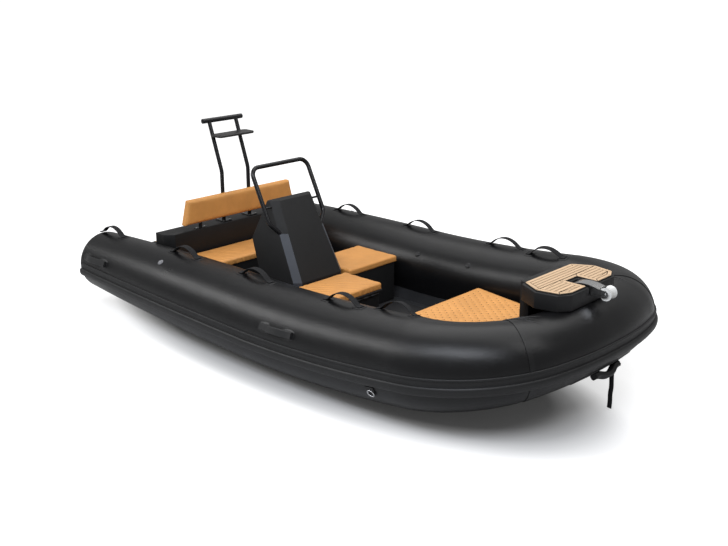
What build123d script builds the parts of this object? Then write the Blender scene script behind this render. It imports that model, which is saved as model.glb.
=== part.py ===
# Rigid inflatable boat with a starboard console, in millimetres.
# +X points to the bow, +Y to port and +Z up. Z = 0 is the waterline, X = 0 is half of the length.
import os
from math import cos, radians, sin, sqrt, tan

from build123d import *

os.makedirs("parts", exist_ok=True)

# Collar: the inflated tube along both sides and round the bow
TUBE_HALF_SPACING = 759
STERN_X = -1800
FULLEST_X = 0
SHOULDER_X = 1100
SHOULDER_BEND = 490
SHOULDER_TURN = 75
TUBE_Z = 262
STERN_LIFT = 28
RISE_START_X = -50
BOW_RISE = 153
STERN_RADIUS = 200
FULLEST_RADIUS = 253
SHOULDER_RADIUS = 243
BOW_RADIUS = 196
SIDE_STEPS = 14
END_CAP_DEPTH = 40
END_CAP_ROUND = 36
COCKPIT_HALF_WIDTH = TUBE_HALF_SPACING - FULLEST_RADIUS

# Fits
SEAT_GAP = 0.6
STRAKE_GAP = 0.9

# Rub strake: ridge, web and band, measured up and out from the side of the tube
STRAKE_TOP = 26
RIDGE_HEIGHT = 13
RIDGE_PROUD = 9
WEB_PROUD = 3
BAND_TOP = -16
BAND_HEIGHT = 56
BAND_SIDE = 10
BAND_PROUD = 24

# Rigid hull, deck panel and transom
TRANSOM_X = -1450
DECK_Z = 75
HULL_LIP_ANGLE = 62
HULL_BED = 3
KEEL_HALF_WIDTH = 22
SPRAY_RAIL_SHARE = 0.55
DECK_PANEL_THICKNESS = 8
DECK_PANEL_MARGIN = 21
DECK_PANEL_HALF_WIDTH = COCKPIT_HALF_WIDTH - DECK_PANEL_MARGIN
DECK_PANEL_FRONT_MARGIN = 76
DECK_PANEL_FRONT_HALF_WIDTH = COCKPIT_HALF_WIDTH - DECK_PANEL_FRONT_MARGIN
TRANSOM_THICKNESS = 50
TRANSOM_REACH = 29
TRANSOM_HALF_WIDTH = COCKPIT_HALF_WIDTH + TRANSOM_REACH
TRANSOM_FOOT_Z = 20
TRANSOM_TOP_Z = 440
ENGINE_CUT_HALF_WIDTH = 200
ENGINE_CUT_SLOPE = 40
ENGINE_CUT_Z = 250
ENGINE_PAD_THICKNESS = 12
ENGINE_PAD_HALF_WIDTH = 150
ENGINE_PAD_HEIGHT = 240
ENGINE_HOLES_Z = 165
ENGINE_HOLE_RADIUS = 6.5
ENGINE_HOLE_SPACING_Y = 210
ENGINE_HOLE_SPACING_Z = 130

# Webbing handles on top of the tubes and moulded handles on their sides
STRAP_HALF_LENGTH = 125
STRAP_HEIGHT = 58
STRAP_WIDTH = 40
STRAP_THICKNESS = 5
STRAP_TAB = 30
CARRY_HALF_LENGTH = 135
CARRY_HEIGHT = 40
CARRY_WIDTH = 42
CARRY_THICKNESS = 14
CARRY_TAB = 22
TOW_HALF_LENGTH = 100
TOW_HEIGHT = 58
TOW_WIDTH = 30
TOW_THICKNESS = 20
TOW_TAB = 20
TOW_ROLL = -140
TOW_SINK = 2
BOW_STRAP_DIAMETER = 18

# Small fittings on the skin
VALVE_RADIUS = 19
VALVE_HEIGHT = 7
RING_X = 954
RING_ROLL = -115
RING_PAD_SIZE = 56
RING_PAD_HEIGHT = 4
RING_RADIUS = 21
RING_WIRE = 3.5
RING_DROP = 14
RING_LIFT = 0.6
RING_GAP = 0.3

# Seats: cushions on boxes
SEAT_TOP_Z = 400
CUSHION_THICKNESS = 45
CUSHION_CORNER = 14
CUSHION_EDGE = 8
LID_THICKNESS = 15
LID_INSET = 6
SEAT_OVERHANG = 18
BOX_CORNER = 12
FRONT_SEAT_X = (-138, 200)
SEAT_SIDE_GAP = 36
FRONT_SEAT_SIDE_GAP = 16
FRONT_SEAT_Y = (FRONT_SEAT_SIDE_GAP - COCKPIT_HALF_WIDTH, -35)
SIDE_SEAT_X = (-500, -118)
SIDE_SEAT_Y = (-8, COCKPIT_HALF_WIDTH - SEAT_SIDE_GAP)
BENCH_REACH = 9
BENCH_OVERHANG = 58
BENCH_Y = (-COCKPIT_HALF_WIDTH - BENCH_REACH, COCKPIT_HALF_WIDTH + BENCH_REACH)
HINGE_RADIUS = 7
HINGE_PIN_RADIUS = 3.5
HINGE_KNUCKLE = 34
HINGE_GAP = 1

# Bow locker, foredeck and bow step
LOCKER_TOP_Z = 322
LOCKER_AFT_X = 534
DECK_PANEL_FRONT_GAP = 15
DECK_PANEL_FRONT_X = LOCKER_AFT_X - DECK_PANEL_FRONT_GAP
LOCKER_HINGE_X = 1195
LOCKER_MARGIN = 6
LOCKER_HALF_WIDTH = COCKPIT_HALF_WIDTH - LOCKER_MARGIN
LOCKER_FRONT_MARGIN = 106
LOCKER_FRONT_HALF_WIDTH = COCKPIT_HALF_WIDTH - LOCKER_FRONT_MARGIN
LOCKER_TAPER_X = 560
LOCKER_BOX_MARGIN = 86
LOCKER_BOX_AFT_HALF = COCKPIT_HALF_WIDTH - LOCKER_BOX_MARGIN
LOCKER_BOX_FRONT_MARGIN = 206
LOCKER_BOX_FRONT_HALF = COCKPIT_HALF_WIDTH - LOCKER_BOX_FRONT_MARGIN
LOCKER_CUSHION_BACK = 65
LOCKER_WALL = 18
FOREDECK_FRONT_X = 1385
FOREDECK_AFT_HALF_WIDTH = LOCKER_FRONT_HALF_WIDTH
FOREDECK_FRONT_MARGIN = 221
FOREDECK_FRONT_HALF_WIDTH = COCKPIT_HALF_WIDTH - FOREDECK_FRONT_MARGIN
STEP_TOP_Z = 713
STEP_DECKING = 10
STEP_AFT_X = 1360
STEP_FRONT_X = 1655
STEP_BASE_Z = 612
STEP_POST_X = (1322, 1382)
STEP_POST_HALF_WIDTH = 190
STEP_SLOT_HALF_WIDTH = 46
STEP_SLOT_AFT_X = 1528
STEP_SLOT_FLOOR_Z = 655
STEP_MARGIN = 12

# Bow roller and its bracket
ROLLER_X = 1741
ROLLER_Z = 681
ROLLER_RADIUS = 36
ROLLER_WAIST = 30
ROLLER_WIDTH = 58
ROLLER_PIN_RADIUS = 6
ROLLER_PIN_CLEARANCE = 0.4
PIN_END = 4
CHEEK_THICKNESS = 5
CHEEK_GAP = 3
CHEEK_END = 20
CHEEK_PIN_CLEARANCE = 0.3
BRACKET_AFT_X = 1560
STRIP_FRONT_X = 1698
STRIP_OVERHANG = 12
STRIP_CROWN = 12
STRIP_THICKNESS = 5

# Console on the starboard side, with its grab rail
CONSOLE_OUTER_GAP = 56
CONSOLE_INNER_GAP = 24
CONSOLE_MID_Y = (CONSOLE_OUTER_GAP - COCKPIT_HALF_WIDTH - CONSOLE_INNER_GAP) / 2
CONSOLE_HALF_WIDTH = (COCKPIT_HALF_WIDTH - CONSOLE_OUTER_GAP - CONSOLE_INNER_GAP) / 2
CONSOLE_FRONT_X = -146
CONSOLE_KNEE_Z = 402
CONSOLE_FOOT_AFT_X = -470
CONSOLE_WAIST_AFT_X = -500
CONSOLE_DASH_Z = 620
CONSOLE_DASH_FRONT_X = -253
CONSOLE_DASH_AFT_X = -585
CONSOLE_DASH_DRAFT = 16
CONSOLE_DASH_HALF_WIDTH = CONSOLE_HALF_WIDTH - CONSOLE_DASH_DRAFT
CONSOLE_TOP_Z = 885
CONSOLE_TOP_FRONT_X = -385
CONSOLE_TOP_AFT_X = -450
CONSOLE_TOP_DRAFT = 36
CONSOLE_TOP_HALF_WIDTH = CONSOLE_HALF_WIDTH - CONSOLE_TOP_DRAFT
CONSOLE_CORNER = 45
RAIL_RADIUS = 14
RAIL_FOOT_Z = 690
RAIL_KNEE = 75
RAIL_LENGTH = 440
RAIL_BEND = 60
RAIL_SPREAD = 24
RAIL_HALF_SPREAD = CONSOLE_HALF_WIDTH + RAIL_SPREAD
RAIL_STRUT_RADIUS = 7
RAIL_STRUT_UP = 175

# Aft box, backrest and mast
AFT_BOX_GAP = 105
AFT_BOX_DEPTH = 145
AFT_BOX_X = (TRANSOM_X + AFT_BOX_GAP, TRANSOM_X + AFT_BOX_GAP + AFT_BOX_DEPTH)
AFT_BOX_FOOT_HALF_WIDTH = COCKPIT_HALF_WIDTH - SEAT_SIDE_GAP
AFT_BOX_OVERHANG = 139
AFT_BOX_HALF_WIDTH = COCKPIT_HALF_WIDTH + AFT_BOX_OVERHANG
AFT_BOX_CORNER = 55
AFT_BOX_WING_Z = 380
AFT_BOX_TOP_Z = 552
BENCH_GAP = 15
BENCH_DEPTH = 315
BENCH_X = (AFT_BOX_X[1] + BENCH_GAP, AFT_BOX_X[1] + BENCH_GAP + BENCH_DEPTH)
BACKREST_FORWARD = 10
BACKREST_X = AFT_BOX_X[1] + BACKREST_FORWARD
BACKREST_Z = (590, 770)
BACKREST_MARGIN = 38
BACKREST_FLARE = 44
BACKREST_TOP_HALF_WIDTH = COCKPIT_HALF_WIDTH - BACKREST_MARGIN
BACKREST_BOTTOM_HALF_WIDTH = BACKREST_TOP_HALF_WIDTH + BACKREST_FLARE
BACKREST_THICKNESS = 54
BACKREST_BEVEL = 12
BACKREST_POST_Y = 360
BACKREST_POST_RADIUS = 13
POST_FOOT_LENGTH = 32
POST_FOOT_WIDTH = 92
POST_FOOT_THICKNESS = 6
MAST_HALF_SPACING = 119
MAST_BEND_Z = 905
MAST_TOP_Z = 1250
MAST_RAKE = 118
MAST_RADIUS = 14
MAST_BEND = 120
MAST_BAR_RADIUS = 17
MAST_BAR_HALF_LENGTH = 175
FLANGE_HALF_LENGTH = 45
FLANGE_HALF_WIDTH = 38
FLANGE_THICKNESS = 8
PLATFORM_Z = 1148
PLATFORM_DEPTH = 118
PLATFORM_HALF_WIDTH = 160
PLATFORM_THICKNESS = 16
PLATFORM_CORNER = 30

# Stern boxes beside the engine well, with decking on top
STERN_BOX_MARGIN = 26
STERN_BOX_Y = (250, COCKPIT_HALF_WIDTH - STERN_BOX_MARGIN)
STERN_DECK_LAP = 10
STERN_DECK_AFT_X = TRANSOM_X - STERN_DECK_LAP
STERN_DECK_REACH = 94
STERN_DECK_Y = (245, COCKPIT_HALF_WIDTH + STERN_DECK_REACH)
STERN_DECK_Z = TRANSOM_TOP_Z
STERN_PLATE = 14
STERN_DECKING = 6

TURN = radians(SHOULDER_TURN)
NOSE_BEND = (TUBE_HALF_SPACING - SHOULDER_BEND * (1 - cos(TURN))) / cos(TURN)
BOW_X = SHOULDER_X + SHOULDER_BEND * sin(TURN) + NOSE_BEND * (1 - sin(TURN))


def save(part, name):
    part.label = name
    export_step(part, f"parts/{name}.step")


# Height of the tube's axis over the water, and its slope, at a place along the boat
def axis_z(x):
    rise = max(0, (x - RISE_START_X) / (BOW_X - RISE_START_X))
    lift = max(0, x / STERN_X)
    return TUBE_Z + BOW_RISE * rise**2 + STERN_LIFT * lift


def axis_slope(x):
    rise = max(0, (x - RISE_START_X) / (BOW_X - RISE_START_X))
    lift = STERN_LIFT / STERN_X if x < 0 else 0
    return 2 * BOW_RISE * rise / (BOW_X - RISE_START_X) + lift


def side_radius(x):
    if x < FULLEST_X:
        share = (FULLEST_X - x) / (FULLEST_X - STERN_X)
        return FULLEST_RADIUS - (FULLEST_RADIUS - STERN_RADIUS) * share**2
    share = (x - FULLEST_X) / (SHOULDER_X - FULLEST_X)
    return FULLEST_RADIUS - (FULLEST_RADIUS - SHOULDER_RADIUS) * share**2


def side_taper(x):
    if x < FULLEST_X:
        share = (FULLEST_X - x) / (FULLEST_X - STERN_X)
        return 2 * (FULLEST_RADIUS - STERN_RADIUS) * share / (FULLEST_X - STERN_X)
    share = (x - FULLEST_X) / (SHOULDER_X - FULLEST_X)
    return -2 * (FULLEST_RADIUS - SHOULDER_RADIUS) * share / (SHOULDER_X - FULLEST_X)


# A section of the starboard tube: local X points outboard, local Y up
def side_station(x):
    place = (x, -TUBE_HALF_SPACING, axis_z(x))
    plane = Plane(place, x_dir=(0, -1, 0), z_dir=(-1, 0, -axis_slope(x)))
    return plane, side_radius(x)


# A section of the bow tube by heading: 0 at the starboard seam, 90 at the stem, 180 at the port seam
def bow_station(heading):
    side = min(heading, 180 - heading)
    turned = radians(side)
    if side <= SHOULDER_TURN:
        x = SHOULDER_X + SHOULDER_BEND * sin(turned)
        y = -TUBE_HALF_SPACING + SHOULDER_BEND * (1 - cos(turned))
    else:
        x = BOW_X - NOSE_BEND * (1 - sin(turned))
        y = -NOSE_BEND * cos(turned)
    if heading > 90:
        y = -y
    h = radians(heading)
    plane = Plane(
        (x, y, axis_z(x)),
        x_dir=(sin(h), -cos(h), 0),
        z_dir=(-cos(h), -sin(h), -axis_slope(x) * cos(h)),
    )
    return plane, SHOULDER_RADIUS + (BOW_RADIUS - SHOULDER_RADIUS) * side / 90


# A seat on the skin of the tube: local X runs along the tube, local Y out of the skin,
# rolled inboard from the crest by an angle
def skin_plane(station, roll, taper=0, lift=0):
    plane, radius = station
    turned = radians(roll)
    out = plane.y_dir * cos(turned) - plane.x_dir * sin(turned)
    along = out * taper - plane.z_dir
    across = along.cross(out)
    return Plane(plane.origin + out * (radius + SEAT_GAP + lift), x_dir=along, z_dir=across)


# A seat for a handle on the side tube, lifted by as much as the skin curves up under its two ends
def handle_plane(x, roll, reach):
    def height(place):
        return axis_z(place) * cos(radians(roll)) + side_radius(place)

    lift = (height(x - reach) + height(x + reach)) / 2 - height(x)
    return skin_plane(side_station(x), roll, side_taper(x), lift)


SIDE_STATIONS = [
    side_station(STERN_X + (SHOULDER_X - STERN_X) * step / SIDE_STEPS) for step in range(SIDE_STEPS + 1)
]
BOW_STATIONS = [bow_station(heading) for heading in range(0, 181, 15)]

# Collar: three tubes that meet at the shoulder seams
with BuildPart() as tube_starboard:
    for plane, radius in SIDE_STATIONS:
        with BuildSketch(plane):
            Circle(radius)
    loft()
save(tube_starboard.part, "tube_starboard")

with BuildPart() as tube_port:
    add(mirror(tube_starboard.part, about=Plane.XZ, mode=Mode.PRIVATE))
save(tube_port.part, "tube_port")

with BuildPart() as tube_bow:
    for plane, radius in BOW_STATIONS:
        with BuildSketch(plane):
            Circle(radius)
    loft()
save(tube_bow.part, "tube_bow")

with BuildPart() as tube_end_caps:
    with BuildSketch(SIDE_STATIONS[0][0]):
        Circle(STERN_RADIUS)
    extrude(amount=END_CAP_DEPTH)
    fillet(tube_end_caps.faces().sort_by(Axis.X)[0].edges(), END_CAP_ROUND)
    mirror(about=Plane.XZ)
save(tube_end_caps.part, "tube_end_caps")


# Rub strake: a thin ridge, a shallow web and a rounded band, seated on the tube's side
def strake_outline(radius):
    seat = radius + STRAKE_GAP

    def skin(height, proud=0):
        return (sqrt(seat**2 - height**2) + proud, height)

    ridge_foot = STRAKE_TOP - RIDGE_HEIGHT
    band_foot = BAND_TOP - BAND_HEIGHT
    upper = Polyline(
        skin(STRAKE_TOP),
        skin(STRAKE_TOP, RIDGE_PROUD),
        skin(ridge_foot, RIDGE_PROUD),
        skin(ridge_foot, WEB_PROUD),
        skin(BAND_TOP, WEB_PROUD),
        skin(BAND_TOP, BAND_SIDE),
    )
    middle = skin((BAND_TOP + band_foot) / 2, BAND_PROUD)
    band = ThreePointArc(upper @ 1, middle, skin(band_foot, BAND_SIDE))
    foot = Line(band @ 1, skin(band_foot))
    ThreePointArc(foot @ 1, skin((STRAKE_TOP + band_foot) / 2), upper @ 0)


with BuildPart() as rub_strake_starboard:
    for plane, radius in SIDE_STATIONS:
        with BuildSketch(plane):
            with BuildLine():
                strake_outline(radius)
            make_face()
    loft()
save(rub_strake_starboard.part, "rub_strake_starboard")

with BuildPart() as rub_strake_port:
    add(mirror(rub_strake_starboard.part, about=Plane.XZ, mode=Mode.PRIVATE))
save(rub_strake_port.part, "rub_strake_port")

with BuildPart() as rub_strake_bow:
    for plane, radius in BOW_STATIONS:
        with BuildSketch(plane):
            with BuildLine():
                strake_outline(radius)
            make_face()
    loft()
save(rub_strake_bow.part, "rub_strake_bow")


# Arched handle: two tabs on the skin and a bow between them
def arch_face(half_length, height, thickness, tab):
    inner = half_length - 1.5 * thickness
    with BuildSketch(mode=Mode.PRIVATE) as face:
        with BuildLine():
            bow = ThreePointArc((-half_length, 0), (0, height), (half_length, 0))
            Line(bow @ 1, bow @ 0)
        make_face()
        with BuildLine():
            gap = ThreePointArc((-inner, 0), (0, height - thickness), (inner, 0))
            Line(gap @ 1, gap @ 0)
        make_face(mode=Mode.SUBTRACT)
        for end in (-1, 1):
            with Locations((end * (half_length + tab / 2 - thickness), thickness / 4)):
                Rectangle(tab + 2 * thickness, thickness / 2)
    return face.sketch


# Webbing handles on the crest: columns are place along the boat and roll inboard
STRAP_TABLE = ((-1690, 0), (-866, 0), (-178, 0), (570, 0), (930, 12))
STRAP_FACE = arch_face(STRAP_HALF_LENGTH, STRAP_HEIGHT, STRAP_THICKNESS, STRAP_TAB)
with BuildPart() as strap_handles_starboard:
    for x, roll in STRAP_TABLE:
        with BuildSketch(handle_plane(x, roll, STRAP_HALF_LENGTH + STRAP_TAB)):
            add(STRAP_FACE)
        extrude(amount=STRAP_WIDTH / 2, both=True)
save(strap_handles_starboard.part, "strap_handles_starboard")

with BuildPart() as strap_handles_port:
    add(mirror(strap_handles_starboard.part, about=Plane.XZ, mode=Mode.PRIVATE))
save(strap_handles_port.part, "strap_handles_port")

# Moulded handles on the outer side: columns are place along the boat and roll inboard
CARRY_TABLE = ((-1620, -69), (262, -69))
CARRY_FACE = arch_face(CARRY_HALF_LENGTH, CARRY_HEIGHT, CARRY_THICKNESS, CARRY_TAB)
with BuildPart() as carry_handles_starboard:
    for x, roll in CARRY_TABLE:
        with BuildSketch(handle_plane(x, roll, CARRY_HALF_LENGTH)):
            add(CARRY_FACE)
        extrude(amount=CARRY_WIDTH / 2, both=True)
save(carry_handles_starboard.part, "carry_handles_starboard")

with BuildPart() as carry_handles_port:
    add(mirror(carry_handles_starboard.part, about=Plane.XZ, mode=Mode.PRIVATE))
save(carry_handles_port.part, "carry_handles_port")

# Tow handle under the stem
with BuildPart() as bow_tow_handle:
    with BuildSketch(skin_plane(bow_station(90), TOW_ROLL, lift=-TOW_SINK)):
        add(arch_face(TOW_HALF_LENGTH, TOW_HEIGHT, TOW_THICKNESS, TOW_TAB))
    extrude(amount=TOW_WIDTH / 2, both=True)
save(bow_tow_handle.part, "bow_tow_handle")

# Hull: columns are place along the boat, keel height, margin of the deck inside the cockpit,
# the angle under the tube where the chine meets it, and the width of the spray rail
HULL_TABLE = (
    (TRANSOM_X, -150, 6, 16, 34),
    (-400, -165, 6, 16, 34),
    (450, -160, 16, 19, 30),
    (SHOULDER_X, -95, 176, 38, 4),
)
# Forefoot: columns are place along the boat, keel height, and for chine and top
# the half width as a share of the tubes' spacing, and the height
FOREFOOT_TABLE = (
    (SHOULDER_X, -95, 0.788, 122, 0.672, 258),
    (1300, 20, 0.614, 165, 0.561, 258),
    (1400, 92, 0.43, 190, 0.39, 258),
    (1500, 170, 0.155, 200, 0.129, 240),
)


def under_tube(x, angle):
    radius = side_radius(x) - HULL_BED
    turned = radians(angle)
    return (TUBE_HALF_SPACING - radius * sin(turned), axis_z(x) - radius * cos(turned))


def across(x):
    return Plane((x, 0, 0), x_dir=(0, 1, 0), z_dir=(1, 0, 0))


# A face from the points of its port half, mirrored to starboard
def both_halves(*port):
    Polygon(*port, *[(-y, z) for y, z in reversed(port)], align=None)


with BuildPart() as tube_beds:
    for plane, radius in SIDE_STATIONS:
        with BuildSketch(plane):
            Circle(radius + SEAT_GAP)
    loft()
    mirror(about=Plane.XZ)

with BuildPart() as hull:
    for x, keel_z, deck_margin, chine_angle, rail in HULL_TABLE:
        with BuildSketch(across(x)):
            chine_y, chine_z = under_tube(x, chine_angle)
            rise = (chine_z - keel_z) / (chine_y - KEEL_HALF_WIDTH)
            rail_y = SPRAY_RAIL_SHARE * chine_y
            rail_z = keel_z + rise * (rail_y - KEEL_HALF_WIDTH)
            both_halves(
                (KEEL_HALF_WIDTH, keel_z),
                (rail_y, rail_z),
                (rail_y + rail, rail_z),
                (rail_y + rail, rail_z + rise * rail),
                (chine_y, chine_z),
                under_tube(x, HULL_LIP_ANGLE),
                (COCKPIT_HALF_WIDTH - deck_margin, DECK_Z),
            )
    loft()
    add(tube_beds.part, mode=Mode.SUBTRACT)
    for x, keel_z, chine_share, chine_z, top_share, top_z in FOREFOOT_TABLE:
        with BuildSketch(across(x)):
            both_halves(
                (KEEL_HALF_WIDTH, keel_z),
                (chine_share * TUBE_HALF_SPACING, chine_z),
                (top_share * TUBE_HALF_SPACING, top_z),
            )
    loft(ruled=True)
save(hull.part, "hull")

# Deck panel on the hull's floor
with BuildPart() as deck_panel:
    with BuildSketch(Plane.XY.offset(DECK_Z)):
        Polygon(
            (TRANSOM_X, DECK_PANEL_HALF_WIDTH),
            (DECK_PANEL_FRONT_X, DECK_PANEL_FRONT_HALF_WIDTH),
            (DECK_PANEL_FRONT_X, -DECK_PANEL_FRONT_HALF_WIDTH),
            (TRANSOM_X, -DECK_PANEL_HALF_WIDTH),
            align=None,
        )
    extrude(amount=DECK_PANEL_THICKNESS)
save(deck_panel.part, "deck_panel")
FLOOR_Z = DECK_Z + DECK_PANEL_THICKNESS

# Transom with its cut-out for the engine
with BuildPart() as transom:
    with BuildSketch(across(TRANSOM_X)):
        both_halves(
            (KEEL_HALF_WIDTH, HULL_TABLE[0][1]),
            (TRANSOM_HALF_WIDTH, TRANSOM_FOOT_Z),
            (TRANSOM_HALF_WIDTH, TRANSOM_TOP_Z),
            (ENGINE_CUT_HALF_WIDTH + ENGINE_CUT_SLOPE, TRANSOM_TOP_Z),
            (ENGINE_CUT_HALF_WIDTH, ENGINE_CUT_Z),
        )
    extrude(amount=-TRANSOM_THICKNESS)
    with Locations(Plane((TRANSOM_X, 0, ENGINE_HOLES_Z), x_dir=(0, 1, 0), z_dir=(1, 0, 0))):
        with GridLocations(ENGINE_HOLE_SPACING_Y, ENGINE_HOLE_SPACING_Z, 2, 2):
            Hole(ENGINE_HOLE_RADIUS, depth=TRANSOM_THICKNESS)
save(transom.part, "transom")

with BuildPart() as engine_pad:
    with BuildSketch(across(TRANSOM_X - TRANSOM_THICKNESS)):
        with Locations((0, ENGINE_CUT_Z - ENGINE_PAD_HEIGHT / 2)):
            RectangleRounded(2 * ENGINE_PAD_HALF_WIDTH, ENGINE_PAD_HEIGHT, BOX_CORNER)
    extrude(amount=-ENGINE_PAD_THICKNESS)
    with Locations(Plane((TRANSOM_X - TRANSOM_THICKNESS, 0, ENGINE_HOLES_Z), x_dir=(0, 1, 0), z_dir=(1, 0, 0))):
        with GridLocations(ENGINE_HOLE_SPACING_Y, ENGINE_HOLE_SPACING_Z, 2, 2):
            Hole(ENGINE_HOLE_RADIUS, depth=ENGINE_PAD_THICKNESS)
save(engine_pad.part, "engine_pad")

# Seats: columns are name, span along the boat, span across it, how far the cushion
# reaches past the box at its sides, and the thickness of the lid between them
SEAT_TABLE = (
    ("front_seat", FRONT_SEAT_X, FRONT_SEAT_Y, SEAT_OVERHANG, LID_THICKNESS),
    ("side_seat", SIDE_SEAT_X, SIDE_SEAT_Y, SEAT_OVERHANG, 0),
    ("rear_bench", BENCH_X, BENCH_Y, BENCH_OVERHANG, 0),
)
CUSHION_Z = SEAT_TOP_Z - CUSHION_THICKNESS
for seat, span_x, span_y, overhang, lid in SEAT_TABLE:
    middle = ((span_x[0] + span_x[1]) / 2, (span_y[0] + span_y[1]) / 2)
    size_x = span_x[1] - span_x[0]
    size_y = span_y[1] - span_y[0]
    with BuildPart() as seat_box:
        with BuildSketch(Plane.XY.offset(FLOOR_Z)):
            with Locations(middle):
                RectangleRounded(size_x - 2 * SEAT_OVERHANG, size_y - 2 * overhang, BOX_CORNER)
        extrude(amount=CUSHION_Z - lid - FLOOR_Z)
        if lid:
            offset(amount=-LOCKER_WALL, openings=seat_box.faces().sort_by(Axis.Z)[-1])
    save(seat_box.part, f"{seat}_box")
    with BuildPart() as cushion:
        with BuildSketch(Plane.XY.offset(CUSHION_Z)):
            with Locations(middle):
                RectangleRounded(size_x, size_y, CUSHION_CORNER)
        extrude(amount=CUSHION_THICKNESS)
        fillet(cushion.faces().sort_by(Axis.Z)[-1].edges(), CUSHION_EDGE)
    save(cushion.part, f"{seat}_cushion")


# Hinge along Y: a pin with knuckles on every second stretch of it
def hinge_rod(x, mid_y, z, length):
    with Locations((x, mid_y, z)):
        Cylinder(HINGE_PIN_RADIUS, length, rotation=(90, 0, 0))
    pairs = int(length / (2 * HINGE_KNUCKLE))
    with Locations((x, mid_y, z)):
        with GridLocations(1, 2 * HINGE_KNUCKLE, 1, pairs):
            Cylinder(HINGE_RADIUS, HINGE_KNUCKLE, rotation=(90, 0, 0))


# Front seat: its lid turns up on a hinge along the front edge of the box
FRONT_BOX_X = FRONT_SEAT_X[1] - SEAT_OVERHANG
FRONT_HINGE = (FRONT_BOX_X + SEAT_GAP + HINGE_RADIUS, CUSHION_Z - LID_THICKNESS - HINGE_RADIUS - HINGE_GAP)
FRONT_SEAT_MID_Y = (FRONT_SEAT_Y[0] + FRONT_SEAT_Y[1]) / 2
FRONT_SEAT_WIDTH = FRONT_SEAT_Y[1] - FRONT_SEAT_Y[0]
with BuildPart() as front_seat_lid:
    with BuildSketch(Plane.XY.offset(CUSHION_Z - LID_THICKNESS)):
        with Locations(((FRONT_SEAT_X[0] + FRONT_SEAT_X[1]) / 2, FRONT_SEAT_MID_Y)):
            RectangleRounded(
                FRONT_SEAT_X[1] - FRONT_SEAT_X[0] - LID_INSET,
                FRONT_SEAT_WIDTH - LID_INSET,
                BOX_CORNER,
            )
    extrude(amount=LID_THICKNESS)
save(front_seat_lid.part, "front_seat_lid")

with BuildPart() as front_seat_hinge:
    hinge_rod(FRONT_HINGE[0], FRONT_SEAT_MID_Y, FRONT_HINGE[1], FRONT_SEAT_WIDTH - 4 * SEAT_OVERHANG)
save(front_seat_hinge.part, "front_seat_hinge")


# Bow locker: a tapered box, a lid hinged along its front edge and a cushion on the lid
def locker_plan(aft_x, front_x, inset):
    half = LOCKER_HALF_WIDTH - inset
    front_half = LOCKER_FRONT_HALF_WIDTH - inset
    Polygon(
        (aft_x, -half),
        (LOCKER_TAPER_X, -half),
        (front_x, -front_half),
        (front_x, front_half),
        (LOCKER_TAPER_X, half),
        (aft_x, half),
        align=None,
    )


LOCKER_LID_Z = LOCKER_TOP_Z - CUSHION_THICKNESS
with BuildPart() as bow_locker_box:
    with BuildSketch(Plane.XY.offset(DECK_Z)):
        Polygon(
            (LOCKER_AFT_X + SEAT_OVERHANG, -LOCKER_BOX_AFT_HALF),
            (SHOULDER_X - SEAT_GAP, -LOCKER_BOX_FRONT_HALF),
            (SHOULDER_X - SEAT_GAP, LOCKER_BOX_FRONT_HALF),
            (LOCKER_AFT_X + SEAT_OVERHANG, LOCKER_BOX_AFT_HALF),
            align=None,
        )
    extrude(amount=LOCKER_LID_Z - LID_THICKNESS - DECK_Z)
    offset(amount=-LOCKER_WALL, openings=bow_locker_box.faces().sort_by(Axis.Z)[-1])
save(bow_locker_box.part, "bow_locker_box")

with BuildPart() as bow_locker_lid:
    with BuildSketch(Plane.XY.offset(LOCKER_LID_Z - LID_THICKNESS)):
        locker_plan(LOCKER_AFT_X, LOCKER_HINGE_X - HINGE_RADIUS - HINGE_GAP, 0)
    extrude(amount=LID_THICKNESS)
save(bow_locker_lid.part, "bow_locker_lid")

with BuildPart() as bow_locker_cushion:
    with BuildSketch(Plane.XY.offset(LOCKER_LID_Z)):
        locker_plan(LOCKER_AFT_X + LID_INSET, LOCKER_HINGE_X - LOCKER_CUSHION_BACK, LID_INSET)
    extrude(amount=CUSHION_THICKNESS)
    fillet(bow_locker_cushion.faces().sort_by(Axis.Z)[-1].edges(), CUSHION_EDGE)
save(bow_locker_cushion.part, "bow_locker_cushion")

with BuildPart() as bow_locker_hinge:
    hinge_rod(LOCKER_HINGE_X, 0, LOCKER_LID_Z, 2 * LOCKER_FRONT_HALF_WIDTH - 4 * SEAT_OVERHANG)
save(bow_locker_hinge.part, "bow_locker_hinge")

# Foredeck ahead of the locker, on the forefoot
FOREFOOT_TOP_Z = FOREFOOT_TABLE[0][5]
with BuildPart() as foredeck:
    with BuildSketch(Plane.XY.offset(FOREFOOT_TOP_Z)):
        Polygon(
            (LOCKER_HINGE_X + HINGE_RADIUS + SEAT_GAP, -FOREDECK_AFT_HALF_WIDTH),
            (FOREDECK_FRONT_X, -FOREDECK_FRONT_HALF_WIDTH),
            (FOREDECK_FRONT_X, FOREDECK_FRONT_HALF_WIDTH),
            (LOCKER_HINGE_X + HINGE_RADIUS + SEAT_GAP, FOREDECK_AFT_HALF_WIDTH),
            align=None,
        )
    extrude(amount=LOCKER_TOP_Z - FOREFOOT_TOP_Z)
save(foredeck.part, "foredeck")


# Bow step: outline columns are place along the boat and half width
STEP_TABLE = ((STEP_AFT_X, 235), (1485, 300), (1610, 275), (STEP_FRONT_X, 210))


def step_plan(inset):
    half = [(x, width - inset) for x, width in STEP_TABLE]
    half[0] = (STEP_AFT_X + inset, half[0][1])
    half[-1] = (STEP_FRONT_X - inset, half[-1][1])
    Polygon(*half, *[(x, -y) for x, y in reversed(half)], align=None)


def step_slot(inset):
    length = STEP_FRONT_X - STEP_SLOT_AFT_X + inset
    with Locations((STEP_FRONT_X - length / 2, 0)):
        Rectangle(length, 2 * (STEP_SLOT_HALF_WIDTH + inset), mode=Mode.SUBTRACT)


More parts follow.
